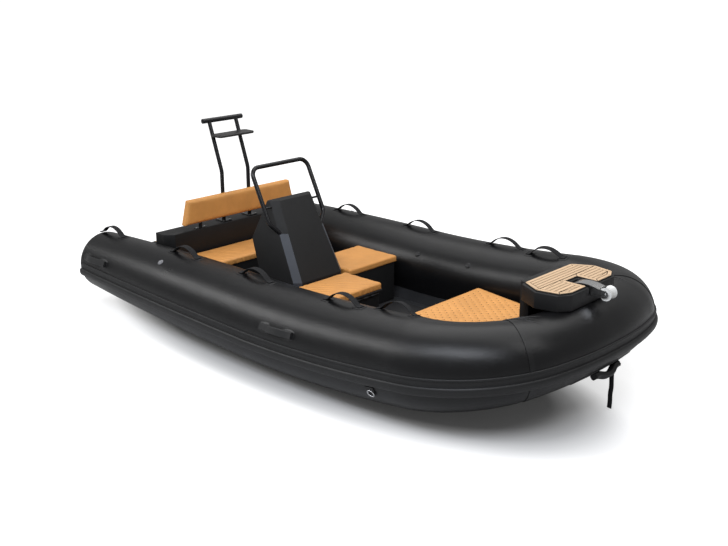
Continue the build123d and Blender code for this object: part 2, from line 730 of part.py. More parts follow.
STEP_PLATE_Z = STEP_TOP_Z - STEP_DECKING
with BuildPart() as bow_step_box:
    with BuildSketch(Plane.XY.offset(STEP_BASE_Z)):
        step_plan(0)
    extrude(amount=STEP_SLOT_FLOOR_Z - STEP_BASE_Z)
    with BuildSketch(Plane.XY.offset(STEP_SLOT_FLOOR_Z)):
        step_plan(0)
        step_slot(0)
    extrude(amount=STEP_PLATE_Z - STEP_SLOT_FLOOR_Z)
    with BuildSketch(Plane.XY.offset(LOCKER_TOP_Z)):
        with Locations(((STEP_POST_X[0] + STEP_POST_X[1]) / 2, 0)):
            Rectangle(STEP_POST_X[1] - STEP_POST_X[0], 2 * STEP_POST_HALF_WIDTH)
    extrude(amount=STEP_PLATE_Z - LOCKER_TOP_Z)
save(bow_step_box.part, "bow_step_box")

with BuildPart() as bow_step_decking:
    with BuildSketch(Plane.XY.offset(STEP_PLATE_Z)):
        step_plan(STEP_MARGIN)
        step_slot(STEP_MARGIN)
    extrude(amount=STEP_DECKING)
save(bow_step_decking.part, "bow_step_decking")

# Bow roller: cheeks in the slot of the step, a bent cover strip over them, a pin and the roller
CHEEK_Y = ROLLER_WIDTH / 2 + CHEEK_GAP
BRACKET_Y = CHEEK_Y + CHEEK_THICKNESS
with BuildPart() as roller_bracket:
    for side_y in (-CHEEK_Y, BRACKET_Y):
        with BuildSketch(Plane.XZ.offset(-side_y)):
            Polygon(
                (BRACKET_AFT_X, STEP_SLOT_FLOOR_Z),
                (BRACKET_AFT_X, STEP_PLATE_Z),
                (STRIP_FRONT_X, STEP_PLATE_Z),
                (ROLLER_X, ROLLER_Z + CHEEK_END),
                (ROLLER_X, ROLLER_Z - CHEEK_END),
                (STEP_FRONT_X, STEP_SLOT_FLOOR_Z),
                align=None,
            )
            with Locations((ROLLER_X, ROLLER_Z)):
                Circle(CHEEK_END)
                Circle(ROLLER_PIN_RADIUS + CHEEK_PIN_CLEARANCE, mode=Mode.SUBTRACT)
        extrude(amount=CHEEK_THICKNESS)
    with BuildSketch(Plane.XZ.offset(-BRACKET_Y)):
        with BuildLine():
            aft = (BRACKET_AFT_X - STRIP_OVERHANG, STEP_PLATE_Z)
            crown = ((aft[0] + STRIP_FRONT_X) / 2, STEP_PLATE_Z + STRIP_CROWN)
            over = ThreePointArc(aft, crown, (STRIP_FRONT_X, STEP_PLATE_Z))
            under = ThreePointArc(
                (aft[0], aft[1] - STRIP_THICKNESS),
                (crown[0], crown[1] - STRIP_THICKNESS),
                (STRIP_FRONT_X, STEP_PLATE_Z - STRIP_THICKNESS),
            )
            Line(over @ 0, under @ 0)
            Line(over @ 1, under @ 1)
        make_face()
    extrude(amount=2 * BRACKET_Y)
save(roller_bracket.part, "roller_bracket")

with BuildPart() as roller_pin:
    with Locations((ROLLER_X, 0, ROLLER_Z)):
        Cylinder(ROLLER_PIN_RADIUS, 2 * (BRACKET_Y + PIN_END), rotation=(90, 0, 0))
save(roller_pin.part, "roller_pin")

with BuildPart() as bow_roller:
    with BuildSketch(Plane((ROLLER_X, 0, ROLLER_Z))):
        with BuildLine():
            rim = Polyline(
                (ROLLER_PIN_RADIUS + ROLLER_PIN_CLEARANCE, -ROLLER_WIDTH / 2),
                (ROLLER_RADIUS, -ROLLER_WIDTH / 2),
            )
            waist = ThreePointArc(rim @ 1, (ROLLER_WAIST, 0), (ROLLER_RADIUS, ROLLER_WIDTH / 2))
            Polyline(
                waist @ 1,
                (ROLLER_PIN_RADIUS + ROLLER_PIN_CLEARANCE, ROLLER_WIDTH / 2),
                rim @ 0,
            )
        make_face()
    revolve(axis=Axis((ROLLER_X, 0, ROLLER_Z), (0, 1, 0)))
save(bow_roller.part, "bow_roller")

# Console: columns are height, front, aft end and half width
CONSOLE_TABLE = (
    (FLOOR_Z, CONSOLE_FRONT_X, CONSOLE_FOOT_AFT_X, CONSOLE_HALF_WIDTH),
    (CONSOLE_KNEE_Z, CONSOLE_FRONT_X, CONSOLE_WAIST_AFT_X, CONSOLE_HALF_WIDTH),
    (CONSOLE_DASH_Z, CONSOLE_DASH_FRONT_X, CONSOLE_DASH_AFT_X, CONSOLE_DASH_HALF_WIDTH),
    (CONSOLE_TOP_Z, CONSOLE_TOP_FRONT_X, CONSOLE_TOP_AFT_X, CONSOLE_TOP_HALF_WIDTH),
)
with BuildPart() as console_body:
    for z, front_x, aft_x, half in CONSOLE_TABLE:
        with BuildSketch(Plane((0, CONSOLE_MID_Y, z))):
            Polygon(
                (aft_x, -half),
                (front_x - CONSOLE_CORNER, -half),
                (front_x, CONSOLE_CORNER - half),
                (front_x, half - CONSOLE_CORNER),
                (front_x - CONSOLE_CORNER, half),
                (aft_x, half),
                align=None,
            )
    loft(ruled=True)
save(console_body.part, "console_body")

# Grab rail in the plane of the console's sloping front: local X across, local Y up the slope.
# Its feet and two struts end on the console's sides.
SLOPE_RUN = CONSOLE_TOP_FRONT_X - CONSOLE_FRONT_X
SLOPE_RISE = CONSOLE_TOP_Z - CONSOLE_KNEE_Z
SLOPE_LENGTH = sqrt(SLOPE_RUN**2 + SLOPE_RISE**2)
RAIL_FOOT_SHARE = (RAIL_FOOT_Z - CONSOLE_KNEE_Z) / SLOPE_RISE
RAIL_FOOT_HALF = CONSOLE_TOP_HALF_WIDTH
RAIL_PLANE = Plane(
    (CONSOLE_FRONT_X + SLOPE_RUN * RAIL_FOOT_SHARE - CONSOLE_CORNER, CONSOLE_MID_Y, RAIL_FOOT_Z),
    x_dir=(0, 1, 0),
    z_dir=(SLOPE_RISE, 0, -SLOPE_RUN),
)
with BuildPart() as console_grab_rail:
    with BuildLine(RAIL_PLANE) as rail_line:
        FilletPolyline(
            (RAIL_FOOT_HALF, 0),
            (RAIL_HALF_SPREAD, RAIL_KNEE),
            (RAIL_HALF_SPREAD, RAIL_LENGTH),
            (-RAIL_HALF_SPREAD, RAIL_LENGTH),
            (-RAIL_HALF_SPREAD, RAIL_KNEE),
            (-RAIL_FOOT_HALF, 0),
            radius=RAIL_BEND,
        )
    with BuildSketch(Plane(rail_line.line @ 0, z_dir=rail_line.line % 0)):
        Circle(RAIL_RADIUS)
    sweep(path=rail_line.line)
    strut_length = RAIL_HALF_SPREAD - RAIL_FOOT_HALF + RAIL_RADIUS
    for side in (-1, 1):
        strut_mid = RAIL_PLANE.from_local_coords((side * (RAIL_HALF_SPREAD - strut_length / 2), RAIL_STRUT_UP, 0))
        with Locations(strut_mid):
            Cylinder(RAIL_STRUT_RADIUS, strut_length, rotation=(90, 0, 0))
    add(console_body.part, mode=Mode.SUBTRACT)
save(console_grab_rail.part, "console_grab_rail")

# Aft box: a locker across the boat whose wings rest over the tubes
with BuildPart() as aft_box:
    with BuildSketch(Plane.XY.offset(FLOOR_Z)):
        with Locations(((AFT_BOX_X[0] + AFT_BOX_X[1]) / 2, 0)):
            Rectangle(AFT_BOX_X[1] - AFT_BOX_X[0], 2 * AFT_BOX_FOOT_HALF_WIDTH)
    extrude(amount=AFT_BOX_WING_Z - FLOOR_Z)
    with BuildSketch(Plane.XY.offset(AFT_BOX_WING_Z)):
        Polygon(
            (AFT_BOX_X[0], -AFT_BOX_HALF_WIDTH),
            (AFT_BOX_X[1] - AFT_BOX_CORNER, -AFT_BOX_HALF_WIDTH),
            (AFT_BOX_X[1], AFT_BOX_CORNER - AFT_BOX_HALF_WIDTH),
            (AFT_BOX_X[1], AFT_BOX_HALF_WIDTH - AFT_BOX_CORNER),
            (AFT_BOX_X[1] - AFT_BOX_CORNER, AFT_BOX_HALF_WIDTH),
            (AFT_BOX_X[0], AFT_BOX_HALF_WIDTH),
            align=None,
        )
    extrude(amount=AFT_BOX_TOP_Z - AFT_BOX_WING_Z)
    add(tube_beds.part, mode=Mode.SUBTRACT)
save(aft_box.part, "aft_box")

# Backrest board with bevelled edges, on two posts with foot plates
with BuildPart() as backrest:
    with BuildSketch(across(BACKREST_X)):
        Polygon(
            (-BACKREST_BOTTOM_HALF_WIDTH, BACKREST_Z[0]),
            (BACKREST_BOTTOM_HALF_WIDTH, BACKREST_Z[0]),
            (BACKREST_TOP_HALF_WIDTH, BACKREST_Z[1]),
            (-BACKREST_TOP_HALF_WIDTH, BACKREST_Z[1]),
            align=None,
        )
    extrude(amount=-BACKREST_THICKNESS)
    chamfer(backrest.faces().sort_by(Axis.X)[-1].edges(), BACKREST_BEVEL)
save(backrest.part, "backrest")

with BuildPart() as backrest_posts:
    post_x = BACKREST_X - BACKREST_THICKNESS / 2
    for side in (-1, 1):
        with BuildSketch(Plane((post_x, side * BACKREST_POST_Y, AFT_BOX_TOP_Z))):
            Circle(BACKREST_POST_RADIUS)
        extrude(amount=BACKREST_Z[0] - AFT_BOX_TOP_Z)
        with BuildSketch(Plane((post_x, side * BACKREST_POST_Y, AFT_BOX_TOP_Z))):
            Rectangle(POST_FOOT_LENGTH, POST_FOOT_WIDTH)
        extrude(amount=POST_FOOT_THICKNESS)
save(backrest_posts.part, "backrest_posts")

# Mast: two bent legs under a cross bar, on flanges, with a small platform
MAST_X = BACKREST_X - BACKREST_THICKNESS - SEAT_GAP - MAST_RADIUS
MAST_FOOT_Z = AFT_BOX_TOP_Z + FLANGE_THICKNESS
with BuildPart() as mast:
    for side in (-1, 1):
        with BuildLine() as leg_line:
            FilletPolyline(
                (MAST_X, side * MAST_HALF_SPACING, MAST_FOOT_Z),
                (MAST_X, side * MAST_HALF_SPACING, MAST_BEND_Z),
                (MAST_X - MAST_RAKE, side * MAST_HALF_SPACING, MAST_TOP_Z),
                radius=MAST_BEND,
            )
        with BuildSketch(Plane((MAST_X, side * MAST_HALF_SPACING, MAST_FOOT_Z))):
            Circle(MAST_RADIUS)
        sweep(path=leg_line.line)
    with Locations((MAST_X - MAST_RAKE, 0, MAST_TOP_Z)):
        Cylinder(MAST_BAR_RADIUS, 2 * MAST_BAR_HALF_LENGTH, rotation=(90, 0, 0))
save(mast.part, "mast")

with BuildPart() as mast_flanges:
    for side in (-1, 1):
        with BuildSketch(Plane((MAST_X, side * MAST_HALF_SPACING, AFT_BOX_TOP_Z))):
            Rectangle(2 * FLANGE_HALF_LENGTH, 2 * FLANGE_HALF_WIDTH)
        extrude(amount=FLANGE_THICKNESS)
save(mast_flanges.part, "mast_flanges")

MAST_LEAN = MAST_RAKE / (MAST_TOP_Z - MAST_BEND_Z)
PLATFORM_AFT_X = (
    MAST_X
    - MAST_LEAN * (PLATFORM_Z - MAST_BEND_Z)
    + MAST_RADIUS * sqrt(1 + MAST_LEAN**2)
    + SEAT_GAP
)
with BuildPart() as mast_platform:
    with BuildSketch(Plane.XY.offset(PLATFORM_Z)):
        with Locations((PLATFORM_AFT_X + PLATFORM_DEPTH / 2, 0)):
            RectangleRounded(PLATFORM_DEPTH, 2 * PLATFORM_HALF_WIDTH, PLATFORM_CORNER)
    extrude(amount=PLATFORM_THICKNESS)
save(mast_platform.part, "mast_platform")

# Stern boxes beside the engine well, each with a plate and decking
with BuildPart() as stern_boxes:
    for side in (-1, 1):
        with BuildSketch(Plane.XY.offset(FLOOR_Z)):
            with Locations((
                (AFT_BOX_X[0] + TRANSOM_X) / 2,
                side * (STERN_BOX_Y[0] + STERN_BOX_Y[1]) / 2,
            )):
                Rectangle(AFT_BOX_X[0] - TRANSOM_X, STERN_BOX_Y[1] - STERN_BOX_Y[0])
        extrude(amount=STERN_DECK_Z - FLOOR_Z)
        with BuildSketch(Plane.XY.offset(STERN_DECK_Z)):
            with Locations((
                (STERN_DECK_AFT_X + AFT_BOX_X[0]) / 2,
                side * (STERN_DECK_Y[0] + STERN_DECK_Y[1]) / 2,
            )):
                Rectangle(AFT_BOX_X[0] - STERN_DECK_AFT_X, STERN_DECK_Y[1] - STERN_DECK_Y[0])
        extrude(amount=STERN_PLATE)
    add(tube_beds.part, mode=Mode.SUBTRACT)
save(stern_boxes.part, "stern_boxes")

with BuildPart() as stern_decking:
    for side in (-1, 1):
        with BuildSketch(Plane.XY.offset(STERN_DECK_Z + STERN_PLATE)):
            with Locations((
                (STERN_DECK_AFT_X + AFT_BOX_X[0]) / 2,
                side * (STERN_DECK_Y[0] + STERN_DECK_Y[1]) / 2,
            )):
                RectangleRounded(
                    AFT_BOX_X[0] - STERN_DECK_AFT_X - 2 * STEP_MARGIN,
                    STERN_DECK_Y[1] - STERN_DECK_Y[0] - 2 * STEP_MARGIN,
                    BOX_CORNER,
                )
        extrude(amount=STERN_DECKING)
save(stern_decking.part, "stern_decking")

# Inflation valves on the skin: columns are place along the boat and roll inboard
VALVE_TABLE = ((-960, -33), (-20, 55), (420, 55))
with BuildPart() as inflation_valves:
    for x, roll in VALVE_TABLE:
        with Locations(skin_plane(side_station(x), roll, side_taper(x))):
            with Locations((0, VALVE_HEIGHT / 2, 0)):
                Cylinder(VALVE_RADIUS, VALVE_HEIGHT, rotation=(90, 0, 0))
    mirror(about=Plane.XZ)
save(inflation_valves.part, "inflation_valves")

# Towing rings under the shoulders, each on a pad
RING_SEAT = skin_plane(side_station(RING_X), RING_ROLL, side_taper(RING_X), RING_LIFT)
with BuildPart() as tow_ring_pads:
    with Locations(RING_SEAT):
        with Locations((0, RING_PAD_HEIGHT / 2, 0)):
            Box(RING_PAD_SIZE, RING_PAD_HEIGHT, RING_PAD_SIZE)
    mirror(about=Plane.XZ)
save(tow_ring_pads.part, "tow_ring_pads")

with BuildPart() as tow_rings:
    with Locations(RING_SEAT):
        with Locations((0, RING_PAD_HEIGHT + RING_WIRE + RING_GAP, RING_DROP)):
            Torus(RING_RADIUS, RING_WIRE, rotation=(90, 0, 0))
    mirror(about=Plane.XZ)
save(tow_rings.part, "tow_rings")

# Strap that hangs from the port leg of the tow handle, its route chosen by hand
BOW_STRAP_ROUTE = (
    (1761, 70, 225),
    (1762, 70, 182),
    (1767, 68, 136),
    (1763, 66, 92),
    (1766, 67, 50),
    (1764, 66, 10),
)


def corner_radius(before, corner, after):
    first = Vector(*corner) - Vector(*before)
    second = Vector(*after) - Vector(*corner)
    turned = radians(first.get_angle(second))
    return 0.45 * min(first.length, second.length) / tan(turned / 2)


STRAP_CORNERS = zip(BOW_STRAP_ROUTE, BOW_STRAP_ROUTE[1:], BOW_STRAP_ROUTE[2:])
BOW_STRAP_RADII = [corner_radius(*corner) for corner in STRAP_CORNERS]
with BuildPart() as bow_strap:
    with BuildLine() as strap_line:
        FilletPolyline(*BOW_STRAP_ROUTE, radius=BOW_STRAP_RADII)
    with BuildSketch(Plane(strap_line.line @ 0, z_dir=strap_line.line % 0)):
        Circle(BOW_STRAP_DIAMETER / 2)
    sweep()
save(bow_strap.part, "bow_strap")
print("bow strap length", round(strap_line.wires()[0].length, 1), "radii", [round(r) for r in BOW_STRAP_RADII])
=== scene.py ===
# %% [markdown]
# # Rigid inflatable boat
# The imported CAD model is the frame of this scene: it fixes every place and size, in metres, with +X to the
# bow, +Y to port and the water at Z = 0. Blender adds what CAD leaves plain: taut fabric, sewn cushions,
# webbing, foam decking and the finish of every surface.

# %% Load the frame
from math import acos, cos, exp, log1p, pi, radians, sin, sqrt

import bmesh
import bpy
import numpy as np
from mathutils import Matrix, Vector


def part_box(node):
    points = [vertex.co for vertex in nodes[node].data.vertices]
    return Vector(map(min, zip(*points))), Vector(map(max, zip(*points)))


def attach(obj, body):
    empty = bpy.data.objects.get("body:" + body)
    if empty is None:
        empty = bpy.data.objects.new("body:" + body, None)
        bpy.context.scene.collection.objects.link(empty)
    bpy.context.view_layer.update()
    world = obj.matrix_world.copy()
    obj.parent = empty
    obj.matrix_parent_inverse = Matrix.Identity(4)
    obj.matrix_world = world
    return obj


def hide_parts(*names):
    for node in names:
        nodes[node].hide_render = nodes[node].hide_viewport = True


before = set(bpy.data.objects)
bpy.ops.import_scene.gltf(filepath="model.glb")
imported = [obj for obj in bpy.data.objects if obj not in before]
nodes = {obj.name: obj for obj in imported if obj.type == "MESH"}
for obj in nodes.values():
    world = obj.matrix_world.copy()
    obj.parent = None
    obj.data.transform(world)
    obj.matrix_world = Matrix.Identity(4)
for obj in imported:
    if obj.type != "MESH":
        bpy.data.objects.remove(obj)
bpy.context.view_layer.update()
scene = bpy.context.scene

# %% [markdown]
# ## Camera
# The eye was found by matching known points of the boat to the picture. It is written here as a place, two
# angles and a lens.

# %% Camera at the photograph's angle
EYE = Vector((4.1657, -4.4453, 2.3765))
EYE_YAW = radians(133.160)
EYE_PITCH = radians(17.917)
EYE_LENS = 49.254

camera_data = bpy.data.cameras.new("studio_camera")
camera_data.lens = EYE_LENS
camera_data.sensor_width = 36
camera = bpy.data.objects.new("studio_camera", camera_data)
scene.collection.objects.link(camera)
look = Vector((
    cos(EYE_YAW) * cos(EYE_PITCH),
    sin(EYE_YAW) * cos(EYE_PITCH),
    -sin(EYE_PITCH),
))
camera.location = EYE
camera.rotation_mode = "QUATERNION"
camera.rotation_quaternion = look.to_track_quat("-Z", "Y")
scene.camera = camera
print("camera looks along", [round(v, 3) for v in look])

# %% [markdown]
# ## Small tools for meshes
# Most pieces are a row of rings joined into a skin. One function makes that skin from an array of points,
# and another gives a piece its finish and tells the frame which body carries it.

# %% Helpers that make, dress and place a piece
SMOOTH_BELOW = 35


def new_piece(name, mesh):
    piece = bpy.data.objects.new(name, mesh)
    scene.collection.objects.link(piece)
    return piece


def evaluated_mesh(piece):
    return bpy.data.meshes.new_from_object(piece.evaluated_get(bpy.context.evaluated_depsgraph_get()))


# The mesh that one modifier makes of a piece
def modified_mesh(piece, kind, **settings):
    modifier = piece.modifiers.new(kind, kind)
    for setting, value in settings.items():
        setattr(modifier, setting, value)
    mesh = evaluated_mesh(piece)
    piece.modifiers.remove(modifier)
    return mesh


# Smooth shading, with an edge kept sharp where its faces meet at more than an angle in degrees
def shaded(mesh, sharp):
    mesh.shade_smooth()
    mesh.set_sharp_from_angle(angle=radians(sharp))
    return mesh


def mesh_from(name, points, faces, sharp=SMOOTH_BELOW):
    mesh = bpy.data.meshes.new(name)
    mesh.from_pydata([tuple(map(float, p)) for p in points], [], [tuple(map(int, f)) for f in faces])
    mesh.validate()
    work = bmesh.new()
    work.from_mesh(mesh)
    bmesh.ops.recalc_face_normals(work, faces=work.faces)
    work.to_mesh(mesh)
    work.free()
    return shaded(mesh, sharp)


# Angles of points set evenly round a circle
def turns_round(count):
    return [2 * pi * a / count for a in range(count)]


# Rings is an array of rows, each row one closed ring of points; the two end rings are capped
def ring_skin(rings):
    rings = np.asarray(rings)
    rows, around = rings.shape[:2]
    faces = []
    for r in range(rows - 1):
        for a in range(around):
            b = (a + 1) % around
            faces.append((r * around + a, r * around + b, (r + 1) * around + b, (r + 1) * around + a))
    faces.append(tuple(range(around)))
    faces.append(tuple(range((rows - 1) * around, rows * around)))
    return rings.reshape(-1, 3), faces


def joined(shapes):
    points, faces = [], []
    for more_points, more_faces in shapes:
        start = len(points)
        faces.extend(tuple(i + start for i in f) for f in more_faces)
        points.extend(more_points)
    return points, faces


def paint(piece, finish):
    piece.data.materials.clear()
    piece.data.materials.append(finish)


def dress(piece, finish, body="boat", replaces=()):
    paint(piece, finish)
    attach(piece, body)
    if replaces:
        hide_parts(*replaces)
    triangles = sum(len(p.vertices) - 2 for p in piece.data.polygons)
    print(piece.name, triangles, "triangles on", body)
    return piece


# A dressed piece of the boat from a list of shapes, each a pair of points and faces
def made(name, shapes, finish, replaces=(), sharp=SMOOTH_BELOW):
    mesh = mesh_from(name, *joined(shapes), sharp)
    return dress(new_piece(name, mesh), finish, replaces=replaces)


# %% [markdown]
# ## Small tools for finishes
# A real surface is never one colour. Each finish starts from the same shader and adds noise to its colour,
# roughness and bump, read from Object coordinates in metres so that the grain has its true size.

# %% Helpers that build a finish
def add_node(tree, kind, inputs, **settings):
    node = tree.nodes.new(kind)
    for setting, value in settings.items():
        setattr(node, setting, value)
    for socket, value in inputs.items():
        node.inputs[socket].default_value = value
    return node


# Links are rows of a node, its output, the next node and its input
def wire(tree, *links):
    for node, output, after, socket in links:
        tree.links.new(node.outputs[output], after.inputs[socket])


class Finish:
    def __init__(self, name, colour, roughness, metallic=0.0, specular=0.5):
        self.material = bpy.data.materials.new(name)
        self.material.use_nodes = True
        self.tree = self.material.node_tree
        self.shader = self.tree.nodes["Principled BSDF"]
        self.shader.inputs["Base Color"].default_value = (*colour, 1)
        self.shader.inputs["Roughness"].default_value = roughness
        self.shader.inputs["Metallic"].default_value = metallic
        self.shader.inputs["Specular IOR Level"].default_value = specular
        self.place = self.tree.nodes.new("ShaderNodeTexCoord").outputs["Object"]
        self.link = self.tree.links.new

    def placed(self, kind, vector, inputs, **settings):
        node = add_node(self.tree, kind, inputs, **settings)
        self.link(vector or self.place, node.inputs["Vector"])
        return node.outputs

    def stretched(self, scale, turn=(0, 0, 0), shift=(0, 0, 0)):
        inputs = {"Scale": scale, "Rotation": turn, "Location": shift}
        return self.placed("ShaderNodeMapping", None, inputs)["Vector"]

    def noise(self, scale, detail, rough=0.55, vector=None):
        inputs = {"Scale": scale, "Detail": detail, "Roughness": rough}
        return self.placed("ShaderNodeTexNoise", vector, inputs)["Fac"]

    def cells(self, scale):
        return self.placed("ShaderNodeTexVoronoi", None, {"Scale": scale})["Distance"]

    def wave(self, scale, direction, vector=None, warp=0.0, warp_scale=1.0):
        inputs = {"Scale": scale, "Distortion": warp, "Detail Scale": warp_scale}
        return self.placed("ShaderNodeTexWave", vector, inputs, bands_direction=direction)["Fac"]

    def ramp(self, value, *stops):
        node = self.tree.nodes.new("ShaderNodeValToRGB")
        while len(node.color_ramp.elements) < len(stops):
            node.color_ramp.elements.new(0.5)
        for element, (where, colour) in zip(node.color_ramp.elements, stops):
            element.position = where
            element.color = (*colour, 1)
        self.link(value, node.inputs["Fac"])
        return node.outputs["Color"]

    # Colour from darker to paler by a share of itself, between a low and a high value of the noise
    def mottle(self, value, colour, spread, low, high):
        dark = tuple(c * (1 - spread) for c in colour)
        pale = tuple(min(1, c * (1 + spread)) for c in colour)
        self.link(self.ramp(value, (low, dark), (high, pale)), self.shader.inputs["Base Color"])

    def gloss(self, value, low, high):
        node = add_node(self.tree, "ShaderNodeMapRange", {"To Min": low, "To Max": high})
        self.link(value, node.inputs["Value"])
        self.link(node.outputs["Result"], self.shader.inputs["Roughness"])

    def bump(self, height, depth, strength):
        node = add_node(self.tree, "ShaderNodeBump", {"Strength": strength, "Distance": depth})
        before = self.shader.inputs["Normal"]
        if before.is_linked:
            self.link(before.links[0].from_socket, node.inputs["Normal"])
        self.link(height, node.inputs["Height"])
        self.link(node.outputs["Normal"], before)


# %% [markdown]
# ## Finishes of the dark parts
# Collar cloth is coated polyester: near black and satin. Rubber is duller, roto-moulded boxes have an
# orange-peel grain, and the tubes of mast and rail are powder coated. The differences are small in colour
# and large in gloss.

# %% Collar cloth, rubber and webbing
def cloth_finish(name, colour, roughness):
    finish = Finish(name, colour, roughness, specular=0.32)
    finish.mottle(finish.noise(3.0, detail=6, rough=0.6), colour, spread=0.22, low=0.3, high=0.75)
    finish.gloss(finish.noise(9, detail=5), roughness - 0.05, roughness + 0.09)
    finish.bump(finish.noise(5, detail=2), depth=0.003, strength=0.35)
    for direction in "XZ":
        finish.bump(finish.wave(420, direction), depth=0.0002, strength=0.25)
    return finish.material


def rubber_finish(name, colour, roughness):
    finish = Finish(name, colour, roughness, specular=0.4)
    finish.mottle(finish.noise(14, detail=6, rough=0.65), colour, spread=0.3, low=0.3, high=0.8)
    finish.gloss(finish.noise(40, detail=4), roughness - 0.06, roughness + 0.12)
    finish.bump(finish.noise(900, detail=2), depth=0.0003, strength=0.4)
    return finish.material


def webbing_finish(name, colour):
    finish = Finish(name, colour, 0.8, specular=0.25)
    finish.mottle(finish.wave(160, "DIAGONAL", warp=1.5), colour, spread=0.45, low=0.2, high=0.8)
    for direction in "XY":
        finish.bump(finish.wave(230, direction), depth=0.0006, strength=0.6)
    return finish.material


# Values are name, colour and roughness
COLLAR = cloth_finish("collar_cloth", (0.0045, 0.0045, 0.0050), 0.29)
END_CAP = cloth_finish("end_cap_cloth", (0.012, 0.012, 0.0125), 0.46)
# The seam tape is a little paler than the collar cloth, a painted highlight for the seams; the handle patches
# and the bow gusset share it
SEAM_TAPE = cloth_finish("seam_tape", (0.0075, 0.0075, 0.0080), 0.33)
STRAKE = rubber_finish("strake_rubber", (0.0075, 0.0075, 0.0080), 0.45)
HANDLE = rubber_finish("handle_rubber", (0.011, 0.011, 0.0115), 0.5)
WEBBING = webbing_finish("webbing", (0.015, 0.015, 0.016))
print("dark cloth and rubber finishes", len(bpy.data.materials))

# %% Mouldings, hull shell and coated tube
def moulded_finish(name, colour, roughness, grain):
    finish = Finish(name, colour, roughness, specular=0.3)
    finish.mottle(finish.noise(5, detail=6, rough=0.6), colour, spread=0.2, low=0.3, high=0.8)
    finish.gloss(finish.noise(30, detail=4), roughness - 0.05, roughness + 0.08)
    finish.bump(finish.noise(grain, detail=2), depth=0.0005, strength=0.35)
    return finish.material


def metal_finish(name, colour, roughness, brushing):
    finish = Finish(name, colour, roughness, metallic=1.0)
    lines = finish.noise(60, detail=4, vector=finish.stretched((1, brushing, 1)))
    finish.mottle(lines, colour, spread=0.08, low=0.3, high=0.7)
    finish.gloss(lines, roughness * 0.7, roughness * 1.5)
    finish.bump(lines, depth=0.0001, strength=0.2)
    return finish.material


# Values are name, colour, roughness and fineness of the grain or of the brushing
BOX = moulded_finish("box_moulding", (0.010, 0.010, 0.0105), 0.5, 260)
CONSOLE = moulded_finish("console_moulding", (0.0095, 0.0095, 0.0098), 0.58, 320)
CONSOLE_EDGE = moulded_finish("console_edge", (0.052, 0.058, 0.070), 0.42, 320)
FOREDECK = moulded_finish("deck_moulding", (0.011, 0.011, 0.0115), 0.5, 240)
HULL = moulded_finish("hull_gelcoat", (0.030, 0.031, 0.033), 0.3, 60)
FLOOR_PANEL = moulded_finish("floor_panel", (0.016, 0.016, 0.017), 0.6, 140)
ENGINE_PAD = moulded_finish("engine_pad", (0.025, 0.025, 0.026), 0.55, 200)
PLATFORM = moulded_finish("platform_plastic", (0.022, 0.021, 0.021), 0.35, 220)
TUBE_COAT = moulded_finish("powder_coat", (0.010, 0.010, 0.011), 0.19, 700)
ROLLER = moulded_finish("roller_plastic", (0.82, 0.82, 0.80), 0.35, 160)
VALVE = moulded_finish("valve_plastic", (0.20, 0.20, 0.21), 0.5, 400)
DARK_VALVE = moulded_finish("dark_valve_plastic", (0.018, 0.018, 0.019), 0.4, 400)
STEEL = metal_finish("polished_steel", (0.72, 0.72, 0.72), 0.18, 9)
HINGE = metal_finish("hinge_steel", (0.10, 0.10, 0.105), 0.35, 12)
RING = metal_finish("ring_steel", (0.60, 0.60, 0.61), 0.25, 6)
print("moulded and metal finishes", len(bpy.data.materials))

# %% [markdown]
# ## Finishes of the warm parts
# The cushions are covered in tan coated cloth with a fine grain. The step and the stern plates carry foam
# planks that look like teak, and each plank's colour comes from a number kept on its points.

# %% Cushion cover and foam decking
SLANT = radians(-47)
TINT_SHARE = 0.5


def cover_finish(name, colour, wrinkle):
    finish = Finish(name, colour, 0.5, specular=0.35)
    finish.mottle(finish.noise(7, detail=7, rough=0.62), colour, spread=0.10, low=0.3, high=0.75)
    finish.gloss(finish.noise(25, detail=4), 0.44, 0.6)
    slanted = finish.stretched((1, 1, 1), turn=(0, 0, SLANT))
    ripple = finish.wave(9, "Y", vector=slanted, warp=3.5, warp_scale=1.6)
    finish.bump(ripple, depth=0.004, strength=wrinkle)
    finish.bump(finish.cells(700), depth=0.0004, strength=0.5)
    return finish.material


def decking_finish(name, colour):
    finish = Finish(name, colour, 0.75, specular=0.2)
    tint = finish.tree.nodes.new("ShaderNodeAttribute")
    tint.attribute_name = "plank_tint"
    grain = finish.noise(36, detail=6, rough=0.65, vector=finish.stretched((1.6, 0.14, 1)))
    blend = add_node(finish.tree, "ShaderNodeMath", {1: TINT_SHARE}, operation="MULTIPLY_ADD")
    finish.link(tint.outputs["Fac"], blend.inputs[0])
    finish.link(grain, blend.inputs[2])
    finish.mottle(blend.outputs["Value"], colour, spread=0.09, low=0.35, high=1.0)
    finish.bump(grain, depth=0.0006, strength=0.5)
    finish.bump(finish.noise(1200, detail=1), depth=0.0003, strength=0.5)
    return finish.material


# Values are name and colour, then wrinkle of a cover or roughness of rubber
CUSHION_TAN = (0.63, 0.290, 0.080)
COVER = cover_finish("cushion_cover", CUSHION_TAN, 0.8)
SMOOTH_COVER = cover_finish("smooth_cover", CUSHION_TAN, 0.15)
QUILT = cover_finish("quilted_cover", (0.69, 0.325, 0.095), 0.1)
DECKING = decking_finish("foam_decking", (0.60, 0.425, 0.27))
CAULK = rubber_finish("caulk_rubber", (0.020, 0.018, 0.016), 0.6)
THREAD = webbing_finish("stitch_thread", (0.16, 0.075, 0.03))
print("all finishes", len(bpy.data.materials))

# %% [markdown]
# ## Hanging strap
# A webbing strap hangs from the tow handle under the bow. Its middle line is a smooth NURBS curve on the
# route of the CAD solid, and a node tree sweeps a flat section along it.

